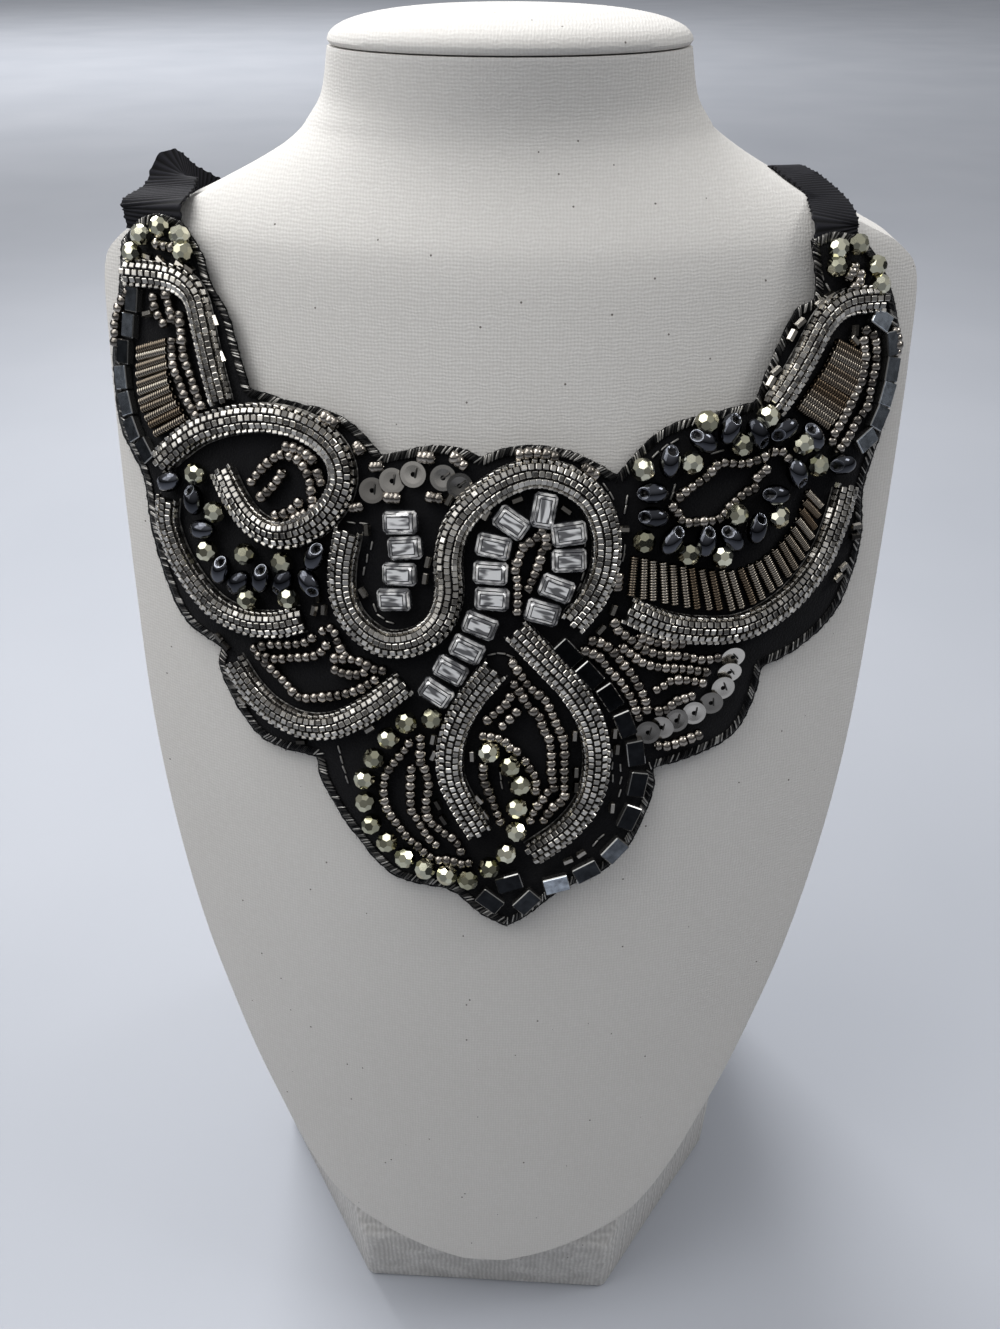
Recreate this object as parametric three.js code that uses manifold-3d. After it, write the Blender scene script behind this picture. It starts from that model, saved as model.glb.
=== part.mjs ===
import * as THREE from 'three';
import { mergeVertices } from 'three/addons/utils/BufferGeometryUtils.js';
import Module from 'manifold-3d';

const wasm = await Module();
wasm.setup();

// A bib necklace of cut stones, beads and mesh cable on felt, worn by a plain neck bust.
// Millimetres, +Z up. The chest faces -Y and the origin is the middle of the foot's underside.

// The gap kept between pieces that touch, and between the felt and the chest it bends over.
const clearance = 0.3;
const chestGap = 0.45;

// The bust: a leaning chest shell with a flat back, a neck with a cap, and a foot behind it.
const bustWidth = 168;
const tipHeight = 26.5;
const tipForward = 59.5;
const seamHeight = 285;
const chestLean = 87;
const chestBulge = 6.2;
const chestRadius = 140;
const rimThickness = 7;
const backAngle = 23.5;
const neckWidth = 73;
const neckDepth = 60;
const capRim = 1.2;
const capDome = 5.4;
const footDepth = 107.5;
const footFrontWidth = 64.5;
const footBackWidth = 128;
const footFlareDepth = 44;
const footHeight = 118;
const footTopDepth = 22;
const footHeelHeight = 14;

// The bib: a felt backing with the beadwork sewn on it.
const bibWidth = 160;
const feltThickness = 2;
const cableWidth = 5.6;
const strapCableWidth = 4.2;
const cableHeight = 3;
const stoneLength = 7.1;
const stoneWidth = 4.9;
const stoneHeight = 3.2;
const roundBead = 4.2;
const strapBead = 3.7;
const ovalLength = 6.2;
const ovalWidth = 4;
const tileLength = 5.2;
const tileWidth = 3.3;
const strapTileLength = 4.5;
const strapTileWidth = 3;
const tileHeight = 2;
const bugleWidth = 1.9;
const sequinWidth = 5;
const sequinHeight = 1.2;
const threadWidth = 1;
const beadGap = 0.16;

// The ribbons and the clasp behind the neck.
const ribbonWidth = 16;
const ribbonThickness = 1.2;
const claspWidth = 9;
const claspThickness = 3.4;

// The pattern is drawn on a plate in front of an eye that looks down at the chest.
// Its places are in hundred-and-sixtieths of the bib's width, across from the plate's
// middle and up from it, and each is thrown along its line of sight onto the chest.
const patternUnit = bibWidth / 160;
const eyeHeight = 1.06 * seamHeight;
const eyeForward = 118;
const eyeAside = 10.4;
const eyePitch = 36;
const eyeTurn = 3;
const plateDistance = 200;

const radians = THREE.MathUtils.degToRad;
const eye = new THREE.Vector3(eyeAside, -tipForward - eyeForward, eyeHeight);
const neckY = chestLean - tipForward + neckDepth / 2;
const laid = chestGap + feltThickness + clearance;

const colours = {
  bust: [0xd9d7d2, 0.85, 0],
  seam: [0xcfccc6, 0.85, 0],
  felt: [0x0d0d10, 0.95, 0],
  ribbon: [0x111114, 0.8, 0],
  cable: [0xc9c4b8, 0.3, 0.9],
  stone: [0xd8dade, 0.08, 0.1],
  bead: [0xb9b7a2, 0.15, 0.3],
  hematite: [0x26272c, 0.15, 0.8],
  tile: [0x6d7684, 0.2, 0.6],
  bugle: [0x7d6f5c, 0.35, 0.9],
  sequin: [0xb8b4ad, 0.3, 0.8],
  clasp: [0x9a978f, 0.35, 0.9],
};

const model = new THREE.Group();

function addPiece(name, geometry, finish) {
  const [color, roughness, metalness] = colours[finish];
  const material = new THREE.MeshStandardMaterial({ color, roughness, metalness });
  const mesh = new THREE.Mesh(geometry, material);
  mesh.name = name;
  model.add(mesh);
  return mesh;
}

// Faces turned to point outwards, whichever way the rings ran.
function outward(positions, faces) {
  let volume = 0;
  for (const [a, b, c] of faces) {
    volume += positions[a].dot(positions[b].clone().cross(positions[c]));
  }
  const turned = volume < 0 ? faces.map(([a, b, c]) => [a, c, b]) : faces;
  const geometry = new THREE.BufferGeometry();
  const numbers = positions.flatMap((p) => p.toArray());
  geometry.setAttribute('position', new THREE.Float32BufferAttribute(numbers, 3));
  geometry.setIndex(turned.flat());
  geometry.computeVertexNormals();
  return geometry;
}

// A closed body through convex rings of equal length.
function loft(rings) {
  const count = rings[0].length;
  const positions = rings.flat();
  const faces = [];
  for (let row = 0; row + 1 < rings.length; row += 1) {
    for (let i = 0; i < count; i += 1) {
      const here = row * count + i;
      const next = row * count + ((i + 1) % count);
      faces.push([here, next, next + count], [here, next + count, here + count]);
    }
  }
  const top = (rings.length - 1) * count;
  for (let i = 1; i + 1 < count; i += 1) {
    faces.push([0, i + 1, i], [top, top + i, top + i + 1]);
  }
  return outward(positions, faces);
}

function solidOf(geometry) {
  const bare = geometry.clone();
  bare.deleteAttribute('normal');
  bare.deleteAttribute('uv');
  const merged = mergeVertices(bare, 1e-4);
  const vertProperties = new Float32Array(merged.attributes.position.array);
  const triVerts = new Uint32Array(merged.index.array);
  return new wasm.Manifold(new wasm.Mesh({ numProp: 3, vertProperties, triVerts }));
}

function geometryOf(solid) {
  const { vertProperties, triVerts, numProp } = solid.getMesh();
  const geometry = new THREE.BufferGeometry();
  const positions = [];
  for (let i = 0; i < vertProperties.length; i += numProp) {
    positions.push(vertProperties[i], vertProperties[i + 1], vertProperties[i + 2]);
  }
  geometry.setAttribute('position', new THREE.Float32BufferAttribute(positions, 3));
  geometry.setIndex([...triVerts]);
  geometry.computeVertexNormals();
  return geometry;
}

// A closed body through rings that may twist sharply, fused from a hull round each pair.
function fuseHulls(rings) {
  const hulls = rings.slice(1).map((ring, i) => {
    const corners = [...rings[i], ...ring];
    return wasm.Manifold.hull(corners.map((p) => p.toArray()));
  });
  return geometryOf(hulls.reduce((whole, next) => whole.add(next)));
}

function fuse(geometries) {
  return geometryOf(geometries.map(solidOf).reduce((whole, next) => whole.add(next)));
}

// How far up the chest a height lies, from 0 at the tip to 1 at the neck's seam.
const climbAt = (z) => (z - tipHeight) / (seamHeight - tipHeight);

function chestFront(x, z) {
  const climb = climbAt(z);
  const bulge = 4 * chestBulge * climb * (1 - climb);
  return -tipForward + chestLean * climb - bulge + (x * x) / (2 * chestRadius);
}

function chestNormal(x, z) {
  const rise = (chestLean - 4 * chestBulge * (1 - 2 * climbAt(z))) / (seamHeight - tipHeight);
  return new THREE.Vector3(x / chestRadius, -1, rise).normalize();
}

const bustBack = (z) => -tipForward + rimThickness + Math.tan(radians(backAngle)) * (z - tipHeight);

// The point on a line of sight that lies the given lift off the chest.
function sight(across, up, lift) {
  const direction = new THREE.Vector3(across * patternUnit, plateDistance, up * patternUnit);
  direction.applyAxisAngle(new THREE.Vector3(1, 0, 0), -radians(eyePitch));
  direction.applyAxisAngle(new THREE.Vector3(0, 0, 1), radians(eyeTurn)).divideScalar(plateDistance);
  let reach = plateDistance;
  let point = eye.clone();
  for (let step = 0; step < 16; step += 1) {
    point = eye.clone().addScaledVector(direction, reach);
    const normal = chestNormal(point.x, point.z);
    const height = (point.y - chestFront(point.x, point.z)) * normal.y;
    reach += (height - lift) / -normal.dot(direction);
  }
  return point;
}

// The place of a flat thing laid on the pattern, turned about the chest's normal.
function seat(across, up, turn, lift) {
  const origin = sight(across, up, lift);
  const normal = chestNormal(origin.x, origin.z);
  const level = sight(across + 1, up, lift).sub(origin);
  level.addScaledVector(normal, -level.dot(normal)).normalize();
  const along = level.applyAxisAngle(normal, radians(turn));
  const side = normal.clone().cross(along);
  const matrix = new THREE.Matrix4().makeBasis(along, side, normal);
  return matrix.setPosition(origin);
}

function bustForm() {
  // Up the chest; half-width as a share of half the bust's; how far it has become the neck.
  const sections = [
    [0, 0.06, 0],
    [0.011, 0.187, 0],
    [0.027, 0.31, 0],
    [0.052, 0.438, 0],
    [0.096, 0.54, 0],
    [0.149, 0.623, 0],
    [0.193, 0.689, 0],
    [0.246, 0.756, 0],
    [0.306, 0.825, 0],
    [0.371, 0.881, 0],
    [0.443, 0.927, 0],
    [0.516, 0.957, 0],
    [0.609, 0.976, 0],
    [0.721, 0.993, 0],
    [0.795, 1, 0],
    [0.852, 0.996, 0],
    [0.874, 0.946, 0.02],
    [0.888, 0.865, 0.08],
    [0.905, 0.735, 0.25],
    [0.924, 0.608, 0.5],
    [0.942, 0.517, 0.75],
    [0.954, 0.485, 0.88],
    [0.97, 0.455, 0.97],
    [1, 0, 1],
  ];
  const frontSteps = 12;
  const backSteps = 5;
  const sweep = radians(80);
  const rings = sections.map(([climb, half, neck]) => {
    const z = tipHeight + climb * (seamHeight - tipHeight);
    const reach = neck === 1 ? neckWidth / 2 : (half * bustWidth) / 2;
    const across = (f) => reach * ((1 - neck) * f + neck * Math.sin(sweep * f));
    const depth = (f) => (neckDepth / 2) * Math.cos(sweep * f);
    const ring = [];
    for (let i = 0; i <= frontSteps; i += 1) {
      const f = (2 * i) / frontSteps - 1;
      const x = across(f);
      ring.push(new THREE.Vector3(x, (1 - neck) * chestFront(x, z) + neck * (neckY - depth(f)), z));
    }
    for (let i = 0; i <= backSteps; i += 1) {
      const f = 1 - (2 * i) / backSteps;
      ring.push(new THREE.Vector3(across(f), (1 - neck) * bustBack(z) + neck * (neckY + depth(f)), z));
    }
    return ring;
  });
  return loft(rings);
}

function neckCap() {
  const base = seamHeight + clearance;
  const profile = [[0, 0], [1, 0], [1, capRim]];
  const domeSteps = 4;
  for (let i = 1; i <= domeSteps; i += 1) {
    const angle = (i / domeSteps) * (Math.PI / 2);
    profile.push([Math.cos(angle), capRim + capDome * Math.sin(angle)]);
  }
  const points = profile.map(([r, h]) => new THREE.Vector2(Math.max(r, 0), h));
  points.at(-1).x = 0;
  const cap = new THREE.LatheGeometry(points, 20);
  cap.rotateX(Math.PI / 2);
  cap.scale(neckWidth / 2, neckDepth / 2, 1);
  cap.translate(0, neckY, base);
  return cap;
}

function bustFoot() {
  const halfDepth = footDepth / 2;
  const flareY = footFlareDepth - halfDepth;
  const plan = new THREE.Shape([
    new THREE.Vector2(-footFrontWidth / 2, -halfDepth),
    new THREE.Vector2(footFrontWidth / 2, -halfDepth),
    new THREE.Vector2(footBackWidth / 2, flareY),
    new THREE.Vector2(footBackWidth / 2, halfDepth),
    new THREE.Vector2(-footBackWidth / 2, halfDepth),
    new THREE.Vector2(-footBackWidth / 2, flareY),
  ]);
  const planBody = new THREE.ExtrudeGeometry(plan, { depth: footHeight, bevelEnabled: false });
  const slope = Math.tan(radians(backAngle));
  const gap = clearance / Math.cos(radians(backAngle));
  const frontTop = tipHeight + (-halfDepth - gap - bustBack(tipHeight)) / slope;
  const crestY = bustBack(footHeight) + gap;
  const side = new THREE.Shape([
    new THREE.Vector2(-halfDepth, 0),
    new THREE.Vector2(-halfDepth, frontTop),
    new THREE.Vector2(crestY, footHeight),
    new THREE.Vector2(crestY + footTopDepth, footHeight),
    new THREE.Vector2(halfDepth, footHeelHeight),
    new THREE.Vector2(halfDepth, 0),
  ]);
  const sideBody = new THREE.ExtrudeGeometry(side, { depth: 2 * footBackWidth, bevelEnabled: false });
  sideBody.rotateX(Math.PI / 2);
  sideBody.rotateZ(Math.PI / 2);
  sideBody.translate(-footBackWidth, 0, 0);
  return geometryOf(solidOf(planBody).intersect(solidOf(sideBody)));
}

// The felt's outline in stretches between its corners, clockwise from the left strap's top.
const feltStretches = [
  [[-63.4, 88.6], [-59.4, 82.2], [-57.8, 76.6], [-54.3, 70.4], [-52.4, 63.7], [-50, 55.4]],
  [[-50, 55.4], [-41.7, 52.7], [-34.1, 50.8], [-28.3, 47.3], [-23.7, 42]],
  [[-23.7, 42], [-18.7, 43], [-13, 43.9], [-8, 43.4], [-3.8, 41.6]],
  [[-3.8, 41.6], [0.4, 43.2], [6.2, 43.9], [13, 43.1], [18.6, 40.8], [23.4, 38]],
  [[23.4, 38], [29.6, 45], [35.3, 48.5], [41.3, 50.1], [50.9, 52.6]],
  [[50.9, 52.6], [54.3, 61.4], [58.9, 70.7], [62.9, 74.1], [62.1, 84.8]],
  [[62.1, 84.8], [66.8, 86.6], [72.6, 85.6]],
  [
    [72.6, 85.6], [77.4, 77.6], [80, 64.8], [76.8, 48], [72.8, 35.5], [72.2, 24.4], [67.8, 11.7], [60.4, 3.8],
    [52.5, -0.5],
  ],
  [[52.5, -0.5], [50.3, -8.1], [46.4, -14.2], [38.9, -18.2], [30.8, -20.8]],
  [[30.8, -20.8], [30.6, -25.6], [26.4, -35.3], [20.4, -41.4], [12, -45.3], [5.4, -50.3], [1.3, -52.4]],
  [[1.3, -52.4], [-4.4, -49.6], [-9.8, -45.3], [-21.5, -42], [-30.4, -32.1], [-35.5, -23.5], [-36.7, -18.5]],
  [[-36.7, -18.5], [-46.6, -15.4], [-52.2, -9], [-56.2, -0.5], [-55.8, 3.3]],
  [
    [-55.8, 3.3], [-62.8, 8.8], [-67, 17.4], [-69.9, 28], [-71.6, 38], [-76, 48], [-77.5, 62], [-76.4, 74],
    [-75.8, 84.6],
  ],
  [[-75.8, 84.6], [-72.4, 88.9], [-68, 90.2], [-63.4, 88.6]],
];

function smoothRoute(points, spacing) {
  const curve = new THREE.SplineCurve(points.map(([across, up]) => new THREE.Vector2(across, up)));
  const steps = Math.max(2, Math.round((curve.getLength() * patternUnit) / spacing));
  return curve.getSpacedPoints(steps);
}

function bibFelt() {
  const edgeSpacing = 6.6;
  const pieces = feltStretches.map((stretch) => smoothRoute(stretch, edgeSpacing).slice(0, -1));
  const outline = pieces.flat().reverse();
  const acrossSteps = 12;
  const upSteps = 10;
  const grid = (lift) => {
    const points = [];
    for (let row = 0; row <= upSteps; row += 1) {
      for (let column = 0; column <= acrossSteps; column += 1) {
        points.push(sight(-84 + (168 * column) / acrossSteps, -57 + (150 * row) / upSteps, lift));
      }
    }
    return points;
  };
  const positions = [...grid(chestGap), ...grid(chestGap + feltThickness)];
  const layer = (acrossSteps + 1) * (upSteps + 1);
  const faces = [];
  for (let row = 0; row < upSteps; row += 1) {
    for (let column = 0; column < acrossSteps; column += 1) {
      const a = row * (acrossSteps + 1) + column;
      const [b, c, d] = [a + 1, a + acrossSteps + 2, a + acrossSteps + 1];
      faces.push([a, c, b], [a, d, c], [a + layer, b + layer, c + layer], [a + layer, c + layer, d + layer]);
    }
  }
  const rim = [];
  for (let i = 0; i < acrossSteps; i += 1) rim.push(i);
  for (let i = 0; i < upSteps; i += 1) rim.push(i * (acrossSteps + 1) + acrossSteps);
  for (let i = acrossSteps; i > 0; i -= 1) rim.push(upSteps * (acrossSteps + 1) + i);
  for (let i = upSteps; i > 0; i -= 1) rim.push(i * (acrossSteps + 1));
  rim.forEach((a, i) => {
    const b = rim[(i + 1) % rim.length];
    faces.push([a, b, b + layer], [a, b + layer, a + layer]);
  });
  const sheet = outward(positions, faces);

  // The outline's cone of sight, from well in front of the chest to well behind it.
  const reachOut = 30;
  const cone = outline.map((p) => [sight(p.x, p.y, reachOut), sight(p.x, p.y, -reachOut)]);
  const count = outline.length;
  const conePoints = [...cone.map(([front]) => front), ...cone.map(([, back]) => back)];
  const coneFaces = THREE.ShapeUtils.triangulateShape(outline, []).flatMap(([a, b, c]) => [
    [a, b, c],
    [c + count, b + count, a + count],
  ]);
  for (let i = 0; i < count; i += 1) {
    const next = (i + 1) % count;
    coneFaces.push([i, i + count, next + count], [i, next + count, next]);
  }
  return geometryOf(solidOf(sheet).intersect(solidOf(outward(conePoints, coneFaces))));
}

// A flattened tube along a route on the pattern, with eased ends.
function laidTube(route, width, height, lift, sides, spacing) {
  const points = smoothRoute(route, spacing);
  const endShare = 0.72;
  const easing = 0.16 * spacing;
  const centres = points.map((p) => sight(p.x, p.y, lift));
  const stations = centres.map((centre, i) => {
    const before = centres[Math.max(0, i - 1)];
    const after = centres[Math.min(centres.length - 1, i + 1)];
    return { centre, tangent: after.clone().sub(before).normalize(), share: 1 };
  });
  const first = stations[0];
  const last = stations.at(-1);
  const inner = (end, way) => ({
    centre: end.centre.clone().addScaledVector(end.tangent, way * easing),
    tangent: end.tangent,
    share: 1,
  });
  const eased = [{ ...first, share: endShare }, inner(first, 1), ...stations.slice(1, -1), inner(last, -1)];
  eased.push({ ...last, share: endShare });
  const flat = Math.cos(Math.PI / sides);
  const rings = eased.map(({ centre, tangent, share }) => {
    const normal = chestNormal(centre.x, centre.z);
    const side = normal.clone().cross(tangent).normalize();
    const ring = [];
    for (let i = 0; i < sides; i += 1) {
      const angle = ((i + 0.5) / sides) * 2 * Math.PI;
      const point = centre.clone().addScaledVector(side, ((share * width) / 2 / flat) * Math.cos(angle));
      ring.push(point.addScaledVector(normal, ((share * height) / 2 / flat) * Math.sin(angle)));
    }
    return ring;
  });
  return loft(rings);
}

// Routes of the mesh cables: across and up on the pattern.
const cableRoutes = {
  left_strap: [[-73, 77.9], [-68, 77.8], [-64, 76.6], [-61, 73.4], [-59.4, 67.2], [-57.8, 60], [-55.9, 52.5]],
  left_loop: [
    [-67.8, 40.4], [-64.3, 43.8], [-59, 47.3], [-51.3, 49.2], [-43.6, 48.9], [-37.1, 46.4], [-32.7, 42], [-31.5, 36.6],
    [-34, 31], [-39, 27], [-44.6, 25.9], [-49.4, 28.4], [-52.9, 33], [-55.6, 38.6],
  ],
  left_side: [[-66.4, 33], [-66.4, 28], [-63.4, 20.2], [-57.6, 12.4], [-51.3, 8.8], [-45.2, 8], [-39.6, 9.1]],
  lower_left: [[-53.1, 0.3], [-49.7, -4.9], [-45.2, -9.3], [-39.4, -12.1], [-32.9, -12.1], [-26, -8.8], [-19.2, -3.8]],
  centre: [
    [-30.4, 26.4], [-31.6, 20], [-31.4, 13.6], [-28.6, 8], [-23, 4.2], [-16.8, 4.7], [-12.2, 8.2], [-10.2, 14],
    [-10.4, 21], [-8.7, 27.6], [-4.3, 32.8], [1.4, 36.6], [7.4, 38.2], [13.6, 36.7], [18.8, 32.6], [21.3, 26],
    [20.9, 19], [18.4, 13.1], [14.6, 8.3],
  ],
  tip_left: [[-1.2, -1.3], [-5, -5.8], [-8.2, -11], [-10, -17], [-9.7, -23], [-7.2, -28.4], [-4.2, -33.4]],
  tip_right: [
    [3.4, 6.6], [9.4, 0.4], [14.8, -5.6], [18.4, -12.2], [19.4, -19.4], [17.9, -26.8], [13.2, -33], [6.4, -37.8],
  ],
  right_side: [[25.8, 10.8], [33, 7.8], [41, 6.8], [49, 7.7], [57, 12.4], [63.2, 19.6], [67, 28], [69.2, 35.4]],
  right_strap: [[73, 73.4], [69.6, 72.4], [65.2, 69], [61.4, 62], [57.7, 55.6], [55, 51.6]],
};

// Places of the cut stones: across, up and turn.
const stonePlaces = [
  [-20, 28.4, 0], [-19, 23.3, 3], [-20.1, 18.1, -2], [-21.2, 13, 0],
  [8.8, 30.8, 80], [2.3, 28.3, -35], [-1.3, 23.6, -12], [-1.9, 18.3, -4], [-1.6, 13.1, -4],
  [-4, 7.8, -22], [-6.6, 3, -27], [-9.9, -1.2, -30], [-12.8, -5.7, -35],
  [13.8, 26.1, 8], [13.8, 20.8, 2], [11.3, 15.2, -20], [8.5, 10.4, -15],
];

function octagon(length, width, corner, height) {
  const [x, y] = [length / 2, width / 2];
  return [
    [x, y - corner], [x - corner, y], [corner - x, y], [-x, y - corner],
    [-x, corner - y], [corner - x, -y], [x - corner, -y], [x, corner - y],
  ].map(([px, py]) => new THREE.Vector3(px, py, height));
}

// A stepped stone: share of the girdle's size, and share of the height, from the base up.
function cutStone() {
  const steps = [[0.7, 0], [1, 0.48], [0.84, 0.8], [0.62, 1]];
  const corner = 0.24 * stoneWidth;
  return loft(steps.map(([share, rise]) => octagon(
    share * stoneLength + (1 - share) * (stoneLength - stoneWidth) * 0.5,
    share * stoneWidth,
    share * corner,
    (rise - 0.5) * stoneHeight,
  )));
}

// Each bead's size, and its outline along the thread: share of half its length out from
// its middle, share of its width and share of its height. The ends are as thin as the thread.
const beadKinds = {
  facet: {
    size: [roundBead, roundBead, roundBead],
    sides: 10,
    outline: [[-1, 0.4, 0.4], [-0.5, 0.92, 0.92], [0.5, 0.92, 0.92], [1, 0.4, 0.4]],
  },
  smallFacet: {
    size: [strapBead, strapBead, strapBead],
    sides: 10,
    outline: [[-1, 0.4, 0.4], [-0.5, 0.92, 0.92], [0.5, 0.92, 0.92], [1, 0.4, 0.4]],
  },
  oval: {
    size: [ovalLength, ovalWidth, ovalWidth],
    sides: 10,
    outline: [[-1, 0.4, 0.4], [-0.55, 0.94, 0.94], [0.55, 0.94, 0.94], [1, 0.4, 0.4]],
  },
  tile: {
    size: [tileLength, tileWidth, tileHeight],
    sides: 4,
    outline: [[-1, 0.3, 0.4], [-1, 0.86, 0.8], [-0.88, 1, 1], [0.88, 1, 1], [1, 0.86, 0.8], [1, 0.3, 0.4]],
  },
  smallTile: {
    size: [strapTileLength, strapTileWidth, tileHeight],
    sides: 4,
    outline: [[-1, 0.86, 0.8], [-0.88, 1, 1], [0.88, 1, 1], [1, 0.86, 0.8]],
  },
  sequin: {
    size: [sequinWidth, sequinWidth, sequinHeight],
    sides: 6,
    outline: [[-0.72, 0.6, 0.8], [-0.3, 0.95, 1], [0.3, 0.95, 1], [0.72, 0.6, 0.8]],
  },
};

// The rings of one bead, its hole along the turned direction of its place.
function beadRings(kind, place) {
  const { size: [length, width, height], sides, outline } = beadKinds[kind];
  const flat = Math.cos(Math.PI / sides);
  return outline.map(([out, wide, tall]) => {
    const ring = [];
    for (let i = 0; i < sides; i += 1) {
      const angle = ((i + 0.5) / sides) * 2 * Math.PI;
      const y = ((wide * width) / 2 / flat) * Math.cos(angle);
      const z = ((tall * height) / 2 / flat) * Math.sin(angle);
      ring.push(new THREE.Vector3((out * length) / 2, y, z).applyMatrix4(place));
    }
    return ring;
  });
}

function beadPlace(kind, across, up, turn) {
  return seat(across, up, turn, laid + beadKinds[kind].size[2] / 2);
}

// A ring's points are kept short of the plane half-way from its bead to the next one, so
// that beads on a tight bend don't cross.
function holdApart(ring, middle, next) {
  const way = next.clone().sub(middle);
  const limit = way.length() / 2 - beadGap / 2;
  way.normalize();
  for (const point of ring) {
    const past = point.clone().sub(middle).dot(way) - limit;
    if (past > 0) point.addScaledVector(way, -past);
  }
}

// Beads of one kind that follow each other along their thread, in one body.
function beadString(kind, points) {
  const last = points.length - 1;
  const places = points.map(([across, up], i) => {
    const [acrossBefore, upBefore] = points[Math.max(0, i - 1)];
    const [acrossAfter, upAfter] = points[Math.min(last, i + 1)];
    const turn = Math.atan2(upAfter - upBefore, acrossAfter - acrossBefore);
    return beadPlace(kind, across, up, THREE.MathUtils.radToDeg(turn));
  });
  const middles = places.map((place) => new THREE.Vector3().setFromMatrixPosition(place));
  const rings = places.flatMap((place, i) => {
    const beadsRings = beadRings(kind, place);
    for (const ring of beadsRings) {
      if (i > 0) holdApart(ring, middles[i], middles[i - 1]);
      if (i < last) holdApart(ring, middles[i], middles[i + 1]);
    }
    return beadsRings;
  });
  return loft(rings);
}

// A field of beads turned this way and that, fused to the thread that runs through their middles.
function beadField(places) {
  const threadSides = 3;
  const beads = places.map(([kind, across, up, turn]) => {
    const place = beadPlace(kind, across, up, turn);
    return { body: loft(beadRings(kind, place)), middle: new THREE.Vector3().setFromMatrixPosition(place) };
  });
  const rings = beads.map(({ middle }, i) => {
    const before = beads[Math.max(0, i - 1)].middle;
    const after = beads[Math.min(beads.length - 1, i + 1)].middle;
    const normal = chestNormal(middle.x, middle.z);
    const side = normal.clone().cross(after.clone().sub(before)).normalize();
    const ring = [];
    for (let j = 0; j < threadSides; j += 1) {
      const angle = (j / threadSides) * 2 * Math.PI;
      const point = middle.clone().addScaledVector(side, (threadWidth / 2) * Math.cos(angle));
      ring.push(point.addScaledVector(normal, (threadWidth / 2) * Math.sin(angle)));
    }
    return ring;
  });
  return fuse([loft(rings), ...beads.map(({ body }) => body)]);
}

// Strings of one kind of bead: across and up on the pattern.
const strings = {
  beads_bottom: ['facet', [
    [-13.7, -10.8], [-18.7, -11.6], [-22.3, -14.7], [-25.2, -18.7], [-27.1, -22.8], [-27, -27.4], [-25.7, -31.9],
    [-22.6, -35.5], [-19.1, -38.6], [-15, -40.8], [-10.6, -42], [-6.4, -43], [-2.2, -40.6], [1.2, -37.2],
    [3.2, -33], [3.4, -28.6], [3.9, -24.1], [1.9, -20.3], [-2.2, -17.5],
  ]],
  tiles_bottom: ['tile', [
    [14.3, 2.8], [18.2, -1.7], [21.9, -6.4], [24.9, -11.8], [27, -17.6], [27.4, -23.8], [25.7, -30], [22.6, -36.2],
    [17.4, -40.2], [12, -43.2], [6.2, -46], [-1.4, -47.4],
  ]],
  sequins_left: ['sequin', [[-25.6, 34.8], [-21.6, 36.7], [-17.4, 38]]],
  sequins_centre: ['sequin', [[-12.6, 38], [-9.7, 35.9]]],
  sequins_right: ['sequin', [
    [46.6, 1.4], [45.9, -1.9], [44.6, -5.2], [42.2, -8], [38.8, -10], [35.3, -11.4], [31.8, -12.9],
  ]],
};

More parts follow.
